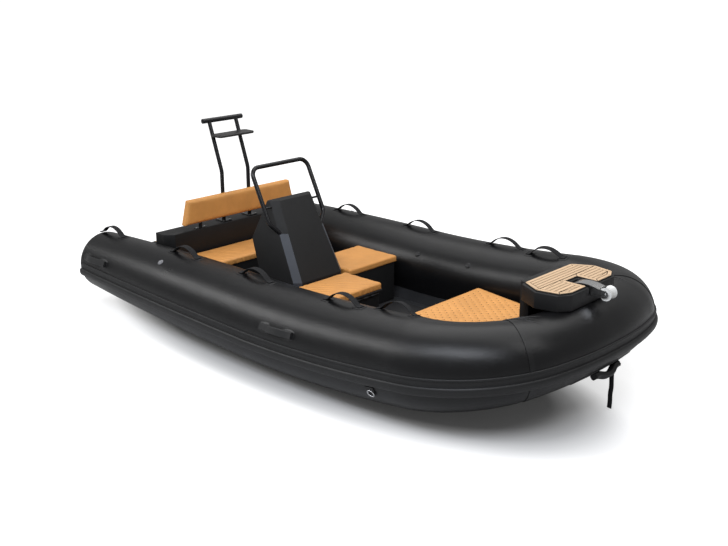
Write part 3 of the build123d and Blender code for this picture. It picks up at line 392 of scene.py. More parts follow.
# %% Tree that sweeps a flat strip along a curve
def new_tree(name, *sizes):
    tree = bpy.data.node_groups.new(name, "GeometryNodeTree")
    tree.interface.new_socket("Geometry", in_out="INPUT", socket_type="NodeSocketGeometry")
    for size, value in sizes:
        socket = tree.interface.new_socket(size, in_out="INPUT", socket_type="NodeSocketFloat")
        socket.default_value = value
    tree.interface.new_socket("Finish", in_out="INPUT", socket_type="NodeSocketMaterial")
    tree.interface.new_socket("Geometry", in_out="OUTPUT", socket_type="NodeSocketGeometry")
    return tree, tree.nodes.new("NodeGroupInput"), tree.nodes.new("NodeGroupOutput")


def close_tree(tree, given, result, geometry):
    realize = tree.nodes.new("GeometryNodeRealizeInstances")
    coat = tree.nodes.new("GeometryNodeSetMaterial")
    tree.links.new(geometry, realize.inputs["Geometry"])
    wire(
        tree,
        (realize, "Geometry", coat, "Geometry"),
        (given, "Finish", coat, "Material"),
        (coat, "Geometry", result, "Geometry"),
    )


def grown_piece(name, source, tree, finish, **sizes):
    holder = new_piece(name + "_source", source)
    grow = holder.modifiers.new("grow", "NODES")
    grow.node_group = tree
    for socket in tree.interface.items_tree:
        if socket.in_out == "INPUT" and socket.name in sizes:
            grow[socket.identifier] = sizes[socket.name]
        if socket.in_out == "INPUT" and socket.name == "Finish":
            grow[socket.identifier] = finish
    mesh = evaluated_mesh(holder)
    holder.modifiers.remove(grow)
    bpy.data.objects.remove(holder)
    return new_piece(name, mesh)


strip_tree, strip_in, strip_out = new_tree("flat_strip", ("Width", 0.018), ("Thickness", 0.004))
strip_section = strip_tree.nodes.new("GeometryNodeCurvePrimitiveQuadrilateral")
strip_sweep = strip_tree.nodes.new("GeometryNodeCurveToMesh")
strip_sweep.inputs["Fill Caps"].default_value = True
wire(
    strip_tree,
    (strip_in, "Width", strip_section, "Width"),
    (strip_in, "Thickness", strip_section, "Height"),
    (strip_in, "Geometry", strip_sweep, "Curve"),
    (strip_section, "Curve", strip_sweep, "Profile Curve"),
)
close_tree(strip_tree, strip_in, strip_out, strip_sweep.outputs["Mesh"])
print("strip tree of", len(strip_tree.nodes), "nodes")

# %% Strap on its route
BOW_STRAP_ROUTE = (
    (1.761, 0.070, 0.225),
    (1.762, 0.070, 0.182),
    (1.767, 0.068, 0.136),
    (1.763, 0.066, 0.092),
    (1.766, 0.067, 0.050),
    (1.764, 0.066, 0.010),
)
BOW_STRAP_WIDTH = 0.026
BOW_STRAP_THICKNESS = 0.005
FLAT_TILT = radians(90)


def route_curve(name, route):
    curve = bpy.data.curves.new(name, "CURVE")
    curve.dimensions = "3D"
    line = curve.splines.new("NURBS")
    line.points.add(len(route) - 1)
    for point, place in zip(line.points, route):
        point.co = (*place, 1)
        point.tilt = FLAT_TILT
    line.order_u = 3
    line.use_endpoint_u = True
    line.resolution_u = 8
    return curve


route_holder = new_piece("bow_strap_route", route_curve("bow_strap_route", BOW_STRAP_ROUTE))
strap_path = [v.co[:] for v in evaluated_mesh(route_holder).vertices]
bpy.data.objects.remove(route_holder)
bow_strap = grown_piece(
    "bow_strap_webbing",
    route_curve("bow_strap_line", BOW_STRAP_ROUTE),
    strip_tree,
    WEBBING,
    Width=BOW_STRAP_WIDTH,
    Thickness=BOW_STRAP_THICKNESS,
)
dress(bow_strap, WEBBING, replaces=["bow_strap"])

# %% [markdown]
# ## Studio
# A grey floor lies at the water. A wide soft box hangs above the boat, and others stand off its near side,
# its near quarter and its bow. The white ground is what the camera sees of the floor and the world, so the
# boat itself is lit at a plain level. Under the boat the floor's glow is dimmed in an ellipse, which is a
# painted shadow.

# %% Floor, world and soft boxes
FLOOR_SIZE = 200
FLOOR_COLOUR = (0.48, 0.48, 0.48)
WORLD_LEVEL = 0.27
# The floor's glow is weaker in an ellipse under the boat, a painted shadow: its middle and its half sizes,
# then rows of distance from the middle in half sizes and level
SHADE_MIDDLE_Y = -0.30
SHADE_SIZE = (1.75, 0.68)
SHADE_REACH = 4
GLOW_AND_PAINTED_SHADOW = ((0.90, 0.03), (1.0, 0.14), (1.08, 0.30), (1.2, 0.66), (1.5, 0.85), (3.0, 0.95))
# Share of the white ground that a glossy surface sees
GLOSS_SHARE = 0.12


# One for rays from the camera and through clear things, the share above for reflections, nothing for light
def ground_share(tree):
    ray = tree.nodes.new("ShaderNodeLightPath")
    direct = add_node(tree, "ShaderNodeMath", {}, operation="ADD")
    share = add_node(tree, "ShaderNodeMath", {1: GLOSS_SHARE}, operation="MULTIPLY_ADD")
    wire(
        tree,
        (ray, "Is Camera Ray", direct, 0),
        (ray, "Is Transmission Ray", direct, 1),
        (ray, "Is Glossy Ray", share, 0),
        (direct, "Value", share, 2),
    )
    return share.outputs["Value"]


half_floor = FLOOR_SIZE / 2
corners = [(x * half_floor, y * half_floor, 0) for x, y in ((-1, -1), (1, -1), (1, 1), (-1, 1))]
floor_mesh = bpy.data.meshes.new("studio_floor")
floor_mesh.from_pydata(corners, [], [(0, 1, 2, 3)])
studio_floor = new_piece("studio_floor", floor_mesh)
paper = Finish("studio_paper", FLOOR_COLOUR, 1.0, specular=0.0)
reach = [1 / (SHADE_REACH * size) for size in SHADE_SIZE]
centred = paper.stretched((*reach, 0), shift=(0, -SHADE_MIDDLE_Y * reach[1], 0))
from_middle = add_node(paper.tree, "ShaderNodeVectorMath", {}, operation="LENGTH")
paper.link(centred, from_middle.inputs[0])
# Painted shadow: the glow the camera sees drops to almost nothing in the ellipse under the boat
painted_shadow_glow_stops = [(u / SHADE_REACH, (level, level, level)) for u, level in GLOW_AND_PAINTED_SHADOW]
glow = paper.ramp(from_middle.outputs["Value"], *painted_shadow_glow_stops)
paper.link(glow, paper.shader.inputs["Emission Color"])
paper.link(ground_share(paper.tree), paper.shader.inputs["Emission Strength"])
paint(studio_floor, paper.material)

world = bpy.data.worlds.new("studio_world")
world.use_nodes = True
sky = world.node_tree.nodes["Background"]
sky.inputs["Color"].default_value = (1, 1, 1, 1)
sky_level = add_node(world.node_tree, "ShaderNodeMapRange", {"To Min": WORLD_LEVEL, "To Max": 1.0})
world.node_tree.links.new(ground_share(world.node_tree), sky_level.inputs["Value"])
world.node_tree.links.new(sky_level.outputs["Result"], sky.inputs["Strength"])
scene.world = world


def soft_box(name, place, target, size, power, tint=(1.0, 1.0, 1.0)):
    lamp = bpy.data.lights.new(name, "AREA")
    lamp.shape = "RECTANGLE"
    lamp.size, lamp.size_y = size
    lamp.energy = power
    lamp.color = tint
    holder = bpy.data.objects.new(name, lamp)
    holder.location = place
    holder.rotation_euler = (Vector(target) - Vector(place)).to_track_quat("-Z", "Y").to_euler()
    scene.collection.objects.link(holder)


# Columns are name, place, target, size and power, and the tint of a cool lamp
SOFT_BOXES = (
    ("top_box", (-0.5, 1.4, 4.8), (-0.4, 0.8, 0.0), (7.0, 5.0), 185),
    ("side_box", (1.9, -3.5, 4.4), (1.1, -0.6, 0.3), (4.4, 1.4), 190, (0.88, 0.92, 1.0)),
    ("quarter_box", (-4.4, -4.4, 3.9), (0.2, -0.8, 0.4), (3.4, 1.6), 150),
    ("bow_box", (4.3, 0.1, 4.4), (1.4, -0.3, 0.4), (1.8, 1.8), 34),
)
for row in SOFT_BOXES:
    soft_box(*row)
scene.view_settings.view_transform = "Standard"
print("soft boxes", len(SOFT_BOXES))

# %% [markdown]
# ## The collar's rule
# The collar is one inflated tube. Every section is a circle square to a path, so the skin follows from the
# path's place, heading and radius. One number runs along it: 0 to 1 on the starboard side, 1 to 2 round
# the bow and 2 to 3 on the port side.

# %% Path and skin of the collar
HALF_SPACING = 0.759
STERN_X = -1.800
SHOULDER_X = 1.100
SHOULDER_BEND = 0.490
SHOULDER_TURN = radians(75)
AXIS_Z = 0.262
STERN_LIFT = 0.028
RISE_START_X = -0.050
BOW_RISE = 0.153
STERN_RADIUS = 0.200
FULLEST_RADIUS = 0.253
SHOULDER_RADIUS = 0.243
BOW_RADIUS = 0.196
NOSE_BEND = (HALF_SPACING - SHOULDER_BEND * (1 - cos(SHOULDER_TURN))) / cos(SHOULDER_TURN)
BOW_X = SHOULDER_X + SHOULDER_BEND * sin(SHOULDER_TURN) + NOSE_BEND * (1 - sin(SHOULDER_TURN))
# Lengths of path for one unit of t, on a side and about the bow
SIDE_LENGTH = SHOULDER_X - STERN_X
BOW_LENGTH = 2.4


def axis_z(x):
    rise = max(0, (x - RISE_START_X) / (BOW_X - RISE_START_X))
    return AXIS_Z + BOW_RISE * rise**2 + STERN_LIFT * max(0, x / STERN_X)


def axis_slope(x):
    rise = max(0, (x - RISE_START_X) / (BOW_X - RISE_START_X))
    return 2 * BOW_RISE * rise / (BOW_X - RISE_START_X) + (STERN_LIFT / STERN_X if x < 0 else 0)


def side_radius(x):
    if x < 0:
        return FULLEST_RADIUS - (FULLEST_RADIUS - STERN_RADIUS) * (x / STERN_X) ** 2
    return FULLEST_RADIUS - (FULLEST_RADIUS - SHOULDER_RADIUS) * (x / SHOULDER_X) ** 2


# Centre, unit vectors along, outboard and up, and radius of the section at t
def collar_section(t):
    if 1 < t < 2:
        heading = pi * (t - 1)
        turned = min(heading, pi - heading)
        if turned <= SHOULDER_TURN:
            x = SHOULDER_X + SHOULDER_BEND * sin(turned)
            y = -HALF_SPACING + SHOULDER_BEND * (1 - cos(turned))
        else:
            x = BOW_X - NOSE_BEND * (1 - sin(turned))
            y = -NOSE_BEND * cos(turned)
        y = -y if heading > pi / 2 else y
        radius = SHOULDER_RADIUS + (BOW_RADIUS - SHOULDER_RADIUS) * turned / (pi / 2)
    else:
        heading = 0 if t <= 1 else pi
        x = STERN_X + SIDE_LENGTH * (t if t <= 1 else 3 - t)
        y = -HALF_SPACING if t <= 1 else HALF_SPACING
        radius = side_radius(x)
    along = Vector((cos(heading), sin(heading), axis_slope(x) * cos(heading))).normalized()
    out = Vector((sin(heading), -cos(heading), 0))
    return Vector((x, y, axis_z(x))), along, out, out.cross(along), radius


# A point on the skin, rolled inboard from the crest
def skin_point(t, roll, proud=0.0):
    centre, _, out, up, radius = collar_section(t)
    return centre + (up * cos(roll) - out * sin(roll)) * (radius + proud)


# The number t at a place along the boat, on the starboard side and on the port side
def both_sides(x):
    t = (x - STERN_X) / SIDE_LENGTH
    return t, 3 - t


print("bow of the path at", round(BOW_X, 3), "nose bend", round(NOSE_BEND, 3))

# %% [markdown]
# ## Collar tubes
# The CAD tubes are lofted from a few stations. Here each is made from many fine rings, so the long
# highlights run without a break, and the cloth dips by a millimetre or two where a seam holds it.

# %% Fine rings for each tube
RING_POINTS = 112
TUBE_ROWS = 150
SEAM_DIP = 0.0018
SEAM_REACH = 0.020
SEAMS = (1.335, 1.665)


def seam_dip(t):
    return -SEAM_DIP * sum(exp(-(((t - seam) / SEAM_REACH) ** 2)) for seam in SEAMS)


def tube_skin(start):
    rolls = turns_round(RING_POINTS)
    rings = []
    for t in np.linspace(start, start + 1, TUBE_ROWS):
        dip = seam_dip(t)
        rings.append([skin_point(t, roll, dip)[:] for roll in rolls])
    return ring_skin(rings)


for start, name in enumerate(("tube_starboard", "tube_bow", "tube_port")):
    made(name + "_cloth", [tube_skin(start)], COLLAR, [name])

# %% [markdown]
# ## Seam tapes
# Cloth panels are glued edge over edge and covered with a tape, a thin strip that lies on the skin. Beside
# the bow step the cloth gathers in a few low folds.

# %% Tapes round the tube and folds beside the step
TAPE_HALF_WIDTH = 0.016
TAPE_HEIGHT = 0.0012
TAPE_END = radians(150)
TAPE_POINTS = 90
TAPE_ROWS = 5
# Depth of a strip's foot under the skin
FOOT_DEPTH = 0.002


def ring_tape(seam):
    reach = TAPE_HALF_WIDTH / BOW_LENGTH
    rolls = np.linspace(-TAPE_END, TAPE_END, TAPE_POINTS)
    rings = []
    for t in np.linspace(seam - reach, seam + reach, TAPE_ROWS):
        top = [skin_point(t, roll, TAPE_HEIGHT)[:] for roll in rolls]
        foot = [skin_point(t, roll, -FOOT_DEPTH)[:] for roll in reversed(rolls)]
        rings.append(top + foot)
    return ring_skin(rings)


# The tapes' paler finish is a painted highlight along the seams
made("seam_tapes", [ring_tape(seam) for seam in SEAMS], SEAM_TAPE)

# Columns are first t and roll in degrees, then last t and roll
BOW_FOLDS = ((1.345, 40, 1.440, -6), (1.335, 34, 1.428, -18), (1.325, 28, 1.416, -28))
FOLD_HALF_WIDTH = radians(1.5)
FOLD_HEIGHT = 0.0035
FOLD_STEPS = 48
FOLD_BEND = 1.4
FOLD_START = 0.12
FOLD_SWELL = 0.7
# Columns are place over the fold in half widths and share of its height
FOLD_SECTION = ((-1, 0), (-0.5, 0.75), (0, 1), (0.5, 0.75), (1, 0))


def bow_fold(first_t, first_roll, last_t, last_roll):
    rings = []
    for share in np.linspace(0, 1, FOLD_STEPS):
        t = first_t + (last_t - first_t) * share
        roll = radians(first_roll + (last_roll - first_roll) * share**FOLD_BEND)
        height = FOLD_HEIGHT * sin(pi * min(1, share + FOLD_START)) ** FOLD_SWELL
        rises = [(side, part * height) for side, part in FOLD_SECTION]
        rises = [(-1, -FOOT_DEPTH), *rises, (1, -FOOT_DEPTH)]
        rings.append([skin_point(t, roll + side * FOLD_HALF_WIDTH, rise)[:] for side, rise in rises])
    return ring_skin(rings)


folds = [bow_fold(*row) for row in BOW_FOLDS]
folds += [([(x, -y, z) for x, y, z in points], faces) for points, faces in folds]
made("bow_folds", folds, COLLAR)

# %% [markdown]
# ## Rub strake
# The strake is an extruded rubber section glued along the tube's side: a thin ridge, a shallow web and a
# rounded band. It is carried along the collar's path.

# %% Section carried round the boat
PER_METRE = 1000
STRAKE_ROWS = 520
STRAKE_SHARP = 50
# Columns are height above the tube's axis and depth proud of its skin, in millimetres
STRAKE_SECTION = [
    (26, -1), (26, 6), (24.5, 8.3), (22, 9), (17, 9), (14.5, 8.3), (13, 6), (12.4, 3.8), (11, 3),
    (-14, 3), (-15.6, 4),
]
BAND_MID, BAND_HALF, BAND_SIDE, BAND_PROUD = -44, 28, 9, 24
BAND_STEPS = 12
for step in range(BAND_STEPS + 1):
    turn = pi * step / BAND_STEPS
    proud = BAND_SIDE + (BAND_PROUD - BAND_SIDE) * sin(turn)
    STRAKE_SECTION.append((BAND_MID + BAND_HALF * cos(turn), proud))
STRAKE_SECTION += [(-72, 3), (-72, -1), (-50, -1), (-20, -1), (5, -1)]


def strake_ring(t):
    centre, _, out, up, radius = collar_section(t)
    ring = []
    for height, proud in STRAKE_SECTION:
        h = height / PER_METRE
        ring.append((centre + up * h + out * (sqrt(radius**2 - h**2) + proud / PER_METRE))[:])
    return ring


strake_skin = ring_skin([strake_ring(t) for t in np.linspace(0, 3, STRAKE_ROWS)])
made("rub_strake_rubber", [strake_skin], STRAKE,
     ["rub_strake_starboard", "rub_strake_port", "rub_strake_bow"], STRAKE_SHARP)

# %% [markdown]
# ## Handles
# Webbing loops stand on the crest of each tube, and moulded handles on its side. Both are a band that lies
# on a patch, rises in an arch and lies down again, so one function bends them all.

# %% Band that rises in an arch
ARCH_STEPS = 72
ARCH_SOFTNESS = 0.008
EXPONENT_LIMIT = 60
SEAT_STEP = 0.002
PATCH_POINTS = 40
PATCH_SQUARENESS = 4


# Origin and unit vectors along, across and off the skin at a place on it
def seat_on_skin(t, roll, lift):
    _, _, out, up, _ = collar_section(t)
    normal = up * cos(roll) - out * sin(roll)
    along = (skin_point(t + SEAT_STEP, roll) - skin_point(t - SEAT_STEP, roll)).normalized()
    normal = (normal - along * normal.dot(along)).normalized()
    return skin_point(t, roll, lift), along, along.cross(normal), normal


def arch_band(seat, half_length, height, thickness, width, tab, corner):
    origin, along, across, normal = seat
    radius = (half_length**2 + height**2) / (2 * height)
    ends = half_length + tab
    half, thin = width / 2, thickness / 2
    path = []
    for s in np.linspace(-ends, ends, ARCH_STEPS):
        arch = sqrt(max(0.0, radius**2 - s**2)) - (radius - height) - thin
        over = min(EXPONENT_LIMIT, (arch - thin) / ARCH_SOFTNESS)
        path.append((s, thin + ARCH_SOFTNESS * log1p(exp(over))))
    path = np.array(path)
    tangent = np.gradient(path, axis=0)
    tangent /= np.linalg.norm(tangent, axis=1)[:, None]
    section = [(half - corner, thin), (-half + corner, thin), (-half, thin - corner), (-half, corner - thin),
               (-half + corner, -thin), (half - corner, -thin), (half, corner - thin), (half, thin - corner)]
    rings = []
    for (s, h), (ts, th) in zip(path, tangent):
        ring = []
        for w, n in section:
            ring.append((origin + along * (s - n * th) + normal * (h + n * ts) + across * w)[:])
        rings.append(ring)
    return ring_skin(rings)


# A thin patch on the skin with rounded ends: sizes along and round the tube
def skin_patch(t, roll, half_length, half_width, height, shift=0.0):
    radius = collar_section(t)[-1]
    span = BOW_LENGTH if 1 < t < 2 else SIDE_LENGTH
    rings = []
    for share, rise in ((1.0, -0.001), (1.0, 0.6 * height), (0.96, height), (0.5, height), (0.05, height)):
        ring = []
        for turn in turns_round(PATCH_POINTS):
            c, s = cos(turn), sin(turn)
            square = (abs(c) ** PATCH_SQUARENESS + abs(s) ** PATCH_SQUARENESS) ** (-1 / PATCH_SQUARENESS)
            ring.append(skin_point(
                t + (shift + half_length * share * c * square) / span,
                roll + half_width * share * s * square / radius,
                rise,
            )[:])
        rings.append(ring)
    return ring_skin(rings)


# One piece for the bands of a kind on each side of the boat
def handle_pieces(kind, ending, rows, lift, sizes, finish):
    for number, side in enumerate(("starboard", "port")):
        name = f"{kind}_{side}"
        seats = [seat_on_skin(both_sides(x)[number], radians(roll), lift) for x, roll in rows]
        made(name + ending, [arch_band(seat, **sizes) for seat in seats], finish, [name])


# %% Webbing loops, moulded handles and the tow handle
# Columns are place along the boat and roll inboard in degrees
STRAPS = ((-1.690, 0), (-0.866, 0), (-0.178, 0), (0.570, 0), (0.930, 12))
STRAP_SIZES = dict(half_length=0.112, height=0.058, thickness=0.005, width=0.040, tab=0.030, corner=0.0015)
STRAP_LIFT = 0.0026
CARRIES = ((-1.620, -69), (0.262, -69))
CARRY_SIZES = dict(half_length=0.108, height=0.042, thickness=0.016, width=0.042, tab=0.022, corner=0.005)
CARRY_LIFT = 0.001
TOW_SIZES = dict(half_length=0.100, height=0.058, thickness=0.034, width=0.044, tab=0.020, corner=0.008)
TOW_LIFT = -0.001
TOW_PLACE = (1.5, radians(-140))
handle_pieces("strap_handles", "_webbing", STRAPS, STRAP_LIFT, STRAP_SIZES, WEBBING)
handle_pieces("carry_handles", "_rubber", CARRIES, CARRY_LIFT, CARRY_SIZES, HANDLE)
tow_shape = arch_band(seat_on_skin(*TOW_PLACE, TOW_LIFT), **TOW_SIZES)
made("bow_tow_handle_rubber", [tow_shape], HANDLE, ["bow_tow_handle"])

# %% Patches under the handles
STRAP_FOOT = 0.124
AFT_PATCH_LIMIT = -1.75
# Half length, half width and height
STRAP_PATCH = (0.036, 0.034, 0.0022)
CARRY_PATCH = (0.148, 0.034, 0.0025)
TOW_PATCH = (0.135, 0.040, 0.003)
patches = []
for x, roll in STRAPS:
    for t in both_sides(x):
        for shift in (-STRAP_FOOT, STRAP_FOOT):
            if AFT_PATCH_LIMIT < x + shift:
                patches.append(skin_patch(t, radians(roll), *STRAP_PATCH, shift))
for x, roll in CARRIES:
    for t in both_sides(x):
        patches.append(skin_patch(t, radians(roll), *CARRY_PATCH))
patches.append(skin_patch(*TOW_PLACE, *TOW_PATCH))
made("handle_patches", patches, SEAM_TAPE)

# %% [markdown]
# ## Softened boxes
# The CAD boxes are plain prisms, but a mould rounds every edge by a few millimetres. Each box is copied,
# its flat faces are joined again and its edges are rounded, at the same place and size.

# %% Rounded copies of the CAD boxes
WELD_DISTANCE = 0.00002
FLAT_BELOW = radians(1)
ROUND_ABOVE = radians(25)
ROUNDED_SHARP = 40


# A copy of a node's mesh, and the same with its split corners joined, ready for work
def welded_copy(node):
    mesh = nodes[node].data.copy()
    work = bmesh.new()
    work.from_mesh(mesh)
    bmesh.ops.remove_doubles(work, verts=work.verts, dist=WELD_DISTANCE)
    return mesh, work


def rounded_copy(node, radius):
    mesh, work = welded_copy(node)
    bmesh.ops.dissolve_limit(work, angle_limit=FLAT_BELOW, verts=work.verts, edges=work.edges)
    bmesh.ops.recalc_face_normals(work, faces=work.faces)
    edges = [e for e in work.edges if e.is_manifold and e.calc_face_angle(0) > ROUND_ABOVE]
    bmesh.ops.bevel(
        work, geom=edges, offset=radius, segments=3, profile=0.5, affect="EDGES", clamp_overlap=True
    )
    work.to_mesh(mesh)
    work.free()
    return new_piece(node + "_rounded", shaded(mesh, ROUNDED_SHARP))


# Groups are finish, slot, body and rows of node and rounding
ROUNDED = (
    (CONSOLE, "console_moulding", "boat", {"console_body": 0.004}),
    (BOX, "box_moulding", "boat", {
        "aft_box": 0.006,
        "stern_boxes": 0.004,
        "front_seat_box": 0.004,
        "side_seat_box": 0.005,
        "rear_bench_box": 0.005,
        "bow_locker_box": 0.004,
        "bow_step_box": 0.005,
    }),
    (FOREDECK, "deck_moulding", "boat", {"foredeck": 0.006}),
    (HULL, "hull_shell", "boat", {"transom": 0.005}),
    (BOX, "box_moulding", "front_seat_lid", {"front_seat_lid": 0.003}),
    (BOX, "box_moulding", "bow_locker_lid", {"bow_locker_lid": 0.003}),
    (PLATFORM, "platform_plastic", "boat", {"mast_platform": 0.005}),
)
for finish, slot, body, rows in ROUNDED:
    for node, radius in rows.items():
        dress(rounded_copy(node, radius), finish, body, replaces=[node])

# %% Finishes on the CAD nodes that keep their shape
KEPT = {
    "tube_end_caps": END_CAP,
    "hull": HULL,
    "deck_panel": FLOOR_PANEL,
    "engine_pad": ENGINE_PAD,
    "front_seat_hinge": HINGE,
    "bow_locker_hinge": HINGE,
    "roller_bracket": STEEL,
    "roller_pin": STEEL,
    "bow_roller": ROLLER,
    "console_grab_rail": TUBE_COAT,
    "mast": TUBE_COAT,
    "mast_flanges": TUBE_COAT,
    "backrest_posts": TUBE_COAT,
    "tow_rings": RING,
    "tow_ring_pads": HANDLE,
}
for node, finish in KEPT.items():
    paint(nodes[node], finish)
print("kept nodes", len(KEPT))

# %% [markdown]
# ## Bow gusset
# A sheet of collar cloth closes the gap between the foredeck's edge and the tube. The collar's own rule
# gives the line where a level sheet meets the tube's inner side.

# %% Level sheet from the foredeck to the tube
GUSSET_SPAN = (1.0, 2.0)
GUSSET_ROWS = 81
GUSSET_REACH = 0.06
GUSSET_HALF_WIDTH = 0.385
GUSSET_X_SPAN = (1.215, 1.36)
GUSSET_TAPER = 0.8
GUSSET_THICKNESS = 0.004
GUSSET_OVERLAP = 0.006
COSINE_LIMIT = 0.99
gusset_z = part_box("foredeck")[0][2] + GUSSET_OVERLAP


def held(value, low, high):
    return min(max(value, low), high)


def inner_line(t, z):
    centre, _, _, _, radius = collar_section(t)
    roll = acos(held((z - centre.z) / radius, -COSINE_LIMIT, COSINE_LIMIT))
    return skin_point(t, roll, -GUSSET_OVERLAP)


gusset_rings = []
for t in np.linspace(*GUSSET_SPAN, GUSSET_ROWS):
    edge = inner_line(t, gusset_z)
    x = held(edge.x - GUSSET_REACH, *GUSSET_X_SPAN)
    y = held(GUSSET_TAPER * edge.y, -GUSSET_HALF_WIDTH, GUSSET_HALF_WIDTH)
    low_z, high_z = gusset_z, gusset_z + GUSSET_THICKNESS
    gusset_rings.append([(x, y, low_z), (edge.x, edge.y, low_z), (edge.x, edge.y, high_z), (x, y, high_z)])
made("bow_gusset", [ring_skin(gusset_rings)], SEAM_TAPE)

# %% [markdown]
# ## Valves
# An inflation valve is a turned boss: a list of radii and heights is turned about the skin's normal. The
# ones outboard are grey, those in the cockpit black.

# %% Turned valves on the skin
VALVE_POINTS = 36
VALVE_LIFT = 0.0006
# Columns are radius and height in millimetres
VALVE_PROFILE = (
    (19.0, -1.0), (19.0, 1.8), (17.6, 2.8), (14.2, 3.0), (13.6, 3.4), (13.6, 6.4), (12.6, 7.3), (9.0, 7.5),
    (8.4, 6.9), (0.4, 6.9),
)
# Columns are piece, finish, replaced nodes, and rows of place along the boat and roll inboard in degrees
VALVES = (
    ("outer_valves", VALVE, ["inflation_valves"], ((-0.960, -33),)),
    ("inner_valves", DARK_VALVE, (), ((-0.020, 55), (0.420, 55))),
)


def turned_valve(seat):
    origin, along, across, normal = seat
    turns = turns_round(VALVE_POINTS)
    rings = []
    for radius, height in VALVE_PROFILE:
        rise = normal * (height / PER_METRE)
        ring = []
        for turn in turns:
            spoke = along * cos(turn) + across * sin(turn)
            ring.append((origin + spoke * (radius / PER_METRE) + rise)[:])
        rings.append(ring)
    return ring_skin(rings)


for name, finish, replaced, rows in VALVES:
    seats = [seat_on_skin(t, radians(roll), VALVE_LIFT) for x, roll in rows for t in both_sides(x)]
    made(name, [turned_valve(seat) for seat in seats], finish, replaced)

# %% [markdown]
# ## Console corner trims
# The console's two front corners carry a flat blue-grey trim. Each is a thin strip on the chamfer, from
# the console's own heights, fronts and half widths.

# %% Strips on the chamfered corners
CONSOLE_MID_Y = -0.237
CONSOLE_CORNER = 0.045
TRIM_INSET = 0.004
TRIM_PROUD = 0.0018
TRIM_DEPTH = 0.001
TRIM_TILT = 0.3
TRIM_SHARP = 20
# Columns are height, front and half width
TRIM_ROWS = ((0.095, -0.146, 0.213), (0.402, -0.146, 0.213), (0.620, -0.253, 0.197), (0.690, -0.2879, 0.1917))


def corner_trim(side):
    rings = []
    for z, front, half in TRIM_ROWS:
        outer = Vector((front - CONSOLE_CORNER, CONSOLE_MID_Y + side * half, z))
        inner = Vector((front, CONSOLE_MID_Y + side * (half - CONSOLE_CORNER), z))
        over = (inner - outer).normalized() * TRIM_INSET
        lift = Vector((1, side, TRIM_TILT)).normalized()
        first, last = outer + over, inner - over
        deep, proud = lift * -TRIM_DEPTH, lift * TRIM_PROUD
        rings.append([(first + deep)[:], (last + deep)[:], (last + proud)[:], (first + proud)[:]])
    return ring_skin(rings)


trims = [corner_trim(side) for side in (-1, 1)]
made("console_corner_trims", trims, CONSOLE_EDGE, sharp=TRIM_SHARP)

# %% [markdown]
# ## Bolts
# The mast's flanges and the backrest's feet are bolted down. A bolt head is the same thing many times over,
# so a node tree puts one six-sided head on every point it is given.

# %% Tree that puts a bolt head on each point
bolt_tree, bolt_in, bolt_out = new_tree("bolt_heads", ("Radius", 0.006), ("Height", 0.005))
bolt_points = bolt_tree.nodes.new("GeometryNodeMeshToPoints")
bolt_head = bolt_tree.nodes.new("GeometryNodeMeshCylinder")
bolt_head.inputs["Vertices"].default_value = 6
bolt_place = bolt_tree.nodes.new("GeometryNodeInstanceOnPoints")
wire(
    bolt_tree,
    (bolt_in, "Geometry", bolt_points, "Mesh"),
    (bolt_in, "Radius", bolt_head, "Radius"),
    (bolt_in, "Height", bolt_head, "Depth"),
    (bolt_points, "Points", bolt_place, "Points"),
    (bolt_head, "Mesh", bolt_place, "Instance"),
)
close_tree(bolt_tree, bolt_in, bolt_out, bolt_place.outputs["Instances"])


def points_mesh(name, points):
    mesh = bpy.data.meshes.new(name)
    mesh.from_pydata([tuple(map(float, p)) for p in points], [], [])
    return mesh


# %% Bolts on flanges and feet
FLANGE_TOP_Z = 0.560
POST_FOOT_TOP_Z = 0.558
MAST_FOOT = (-1.2586, 0.119)
MAST_BOLT = (0.034, 0.027)
POST_FOOT = (-1.217, 0.360)
POST_BOLT_Y = 0.034
BOLT_LIFT = 0.0015
bolts = []
for side in (-1, 1):
    for dx in (-MAST_BOLT[0], MAST_BOLT[0]):
        for dy in (-MAST_BOLT[1], MAST_BOLT[1]):
            bolts.append((MAST_FOOT[0] + dx, side * (MAST_FOOT[1] + dy), FLANGE_TOP_Z + BOLT_LIFT))
    for dy in (-POST_BOLT_Y, POST_BOLT_Y):
        bolts.append((POST_FOOT[0], side * (POST_FOOT[1] + dy), POST_FOOT_TOP_Z + BOLT_LIFT))
bolt_source = points_mesh("foot_bolts", bolts)
bolt_heads = grown_piece("foot_bolts", bolt_source, bolt_tree, STEEL, Radius=0.0065, Height=0.005)
dress(bolt_heads, STEEL)

# %% [markdown]
# ## Cushions
# A boat cushion is a slab of foam in a sewn cover that is a little small for it, so its faces crown and
# its sides pull in. The slab is remeshed evenly, swollen as cloth under pressure, and held flat where it
# lies on its lid.

# %% Slab swollen as cloth
CLOTH_FRAMES = 20
CLOTH_PRESSURE = 4.0
CUSHION_SHRINK = 0.003


def even_copy(node, voxel):
    mesh, work = welded_copy(node)
    work.to_mesh(mesh)
    work.free()
    low, high = (np.array(corner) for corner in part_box(node))
    middle = (low + high) / 2
    points = np.array([v.co for v in mesh.vertices])
    scale = 1 - 2 * CUSHION_SHRINK / (high - low)
    points = middle + (points - middle) * scale
    points[:, 2] -= CUSHION_SHRINK
    mesh.vertices.foreach_set("co", points.ravel())
    piece = new_piece(node + "_cover", mesh)
    piece.data = modified_mesh(piece, "REMESH", mode="VOXEL", voxel_size=voxel)
    return piece


def vertex_array(mesh):
    points = np.empty(len(mesh.vertices) * 3)
    mesh.vertices.foreach_get("co", points)
    return points.reshape(-1, 3)


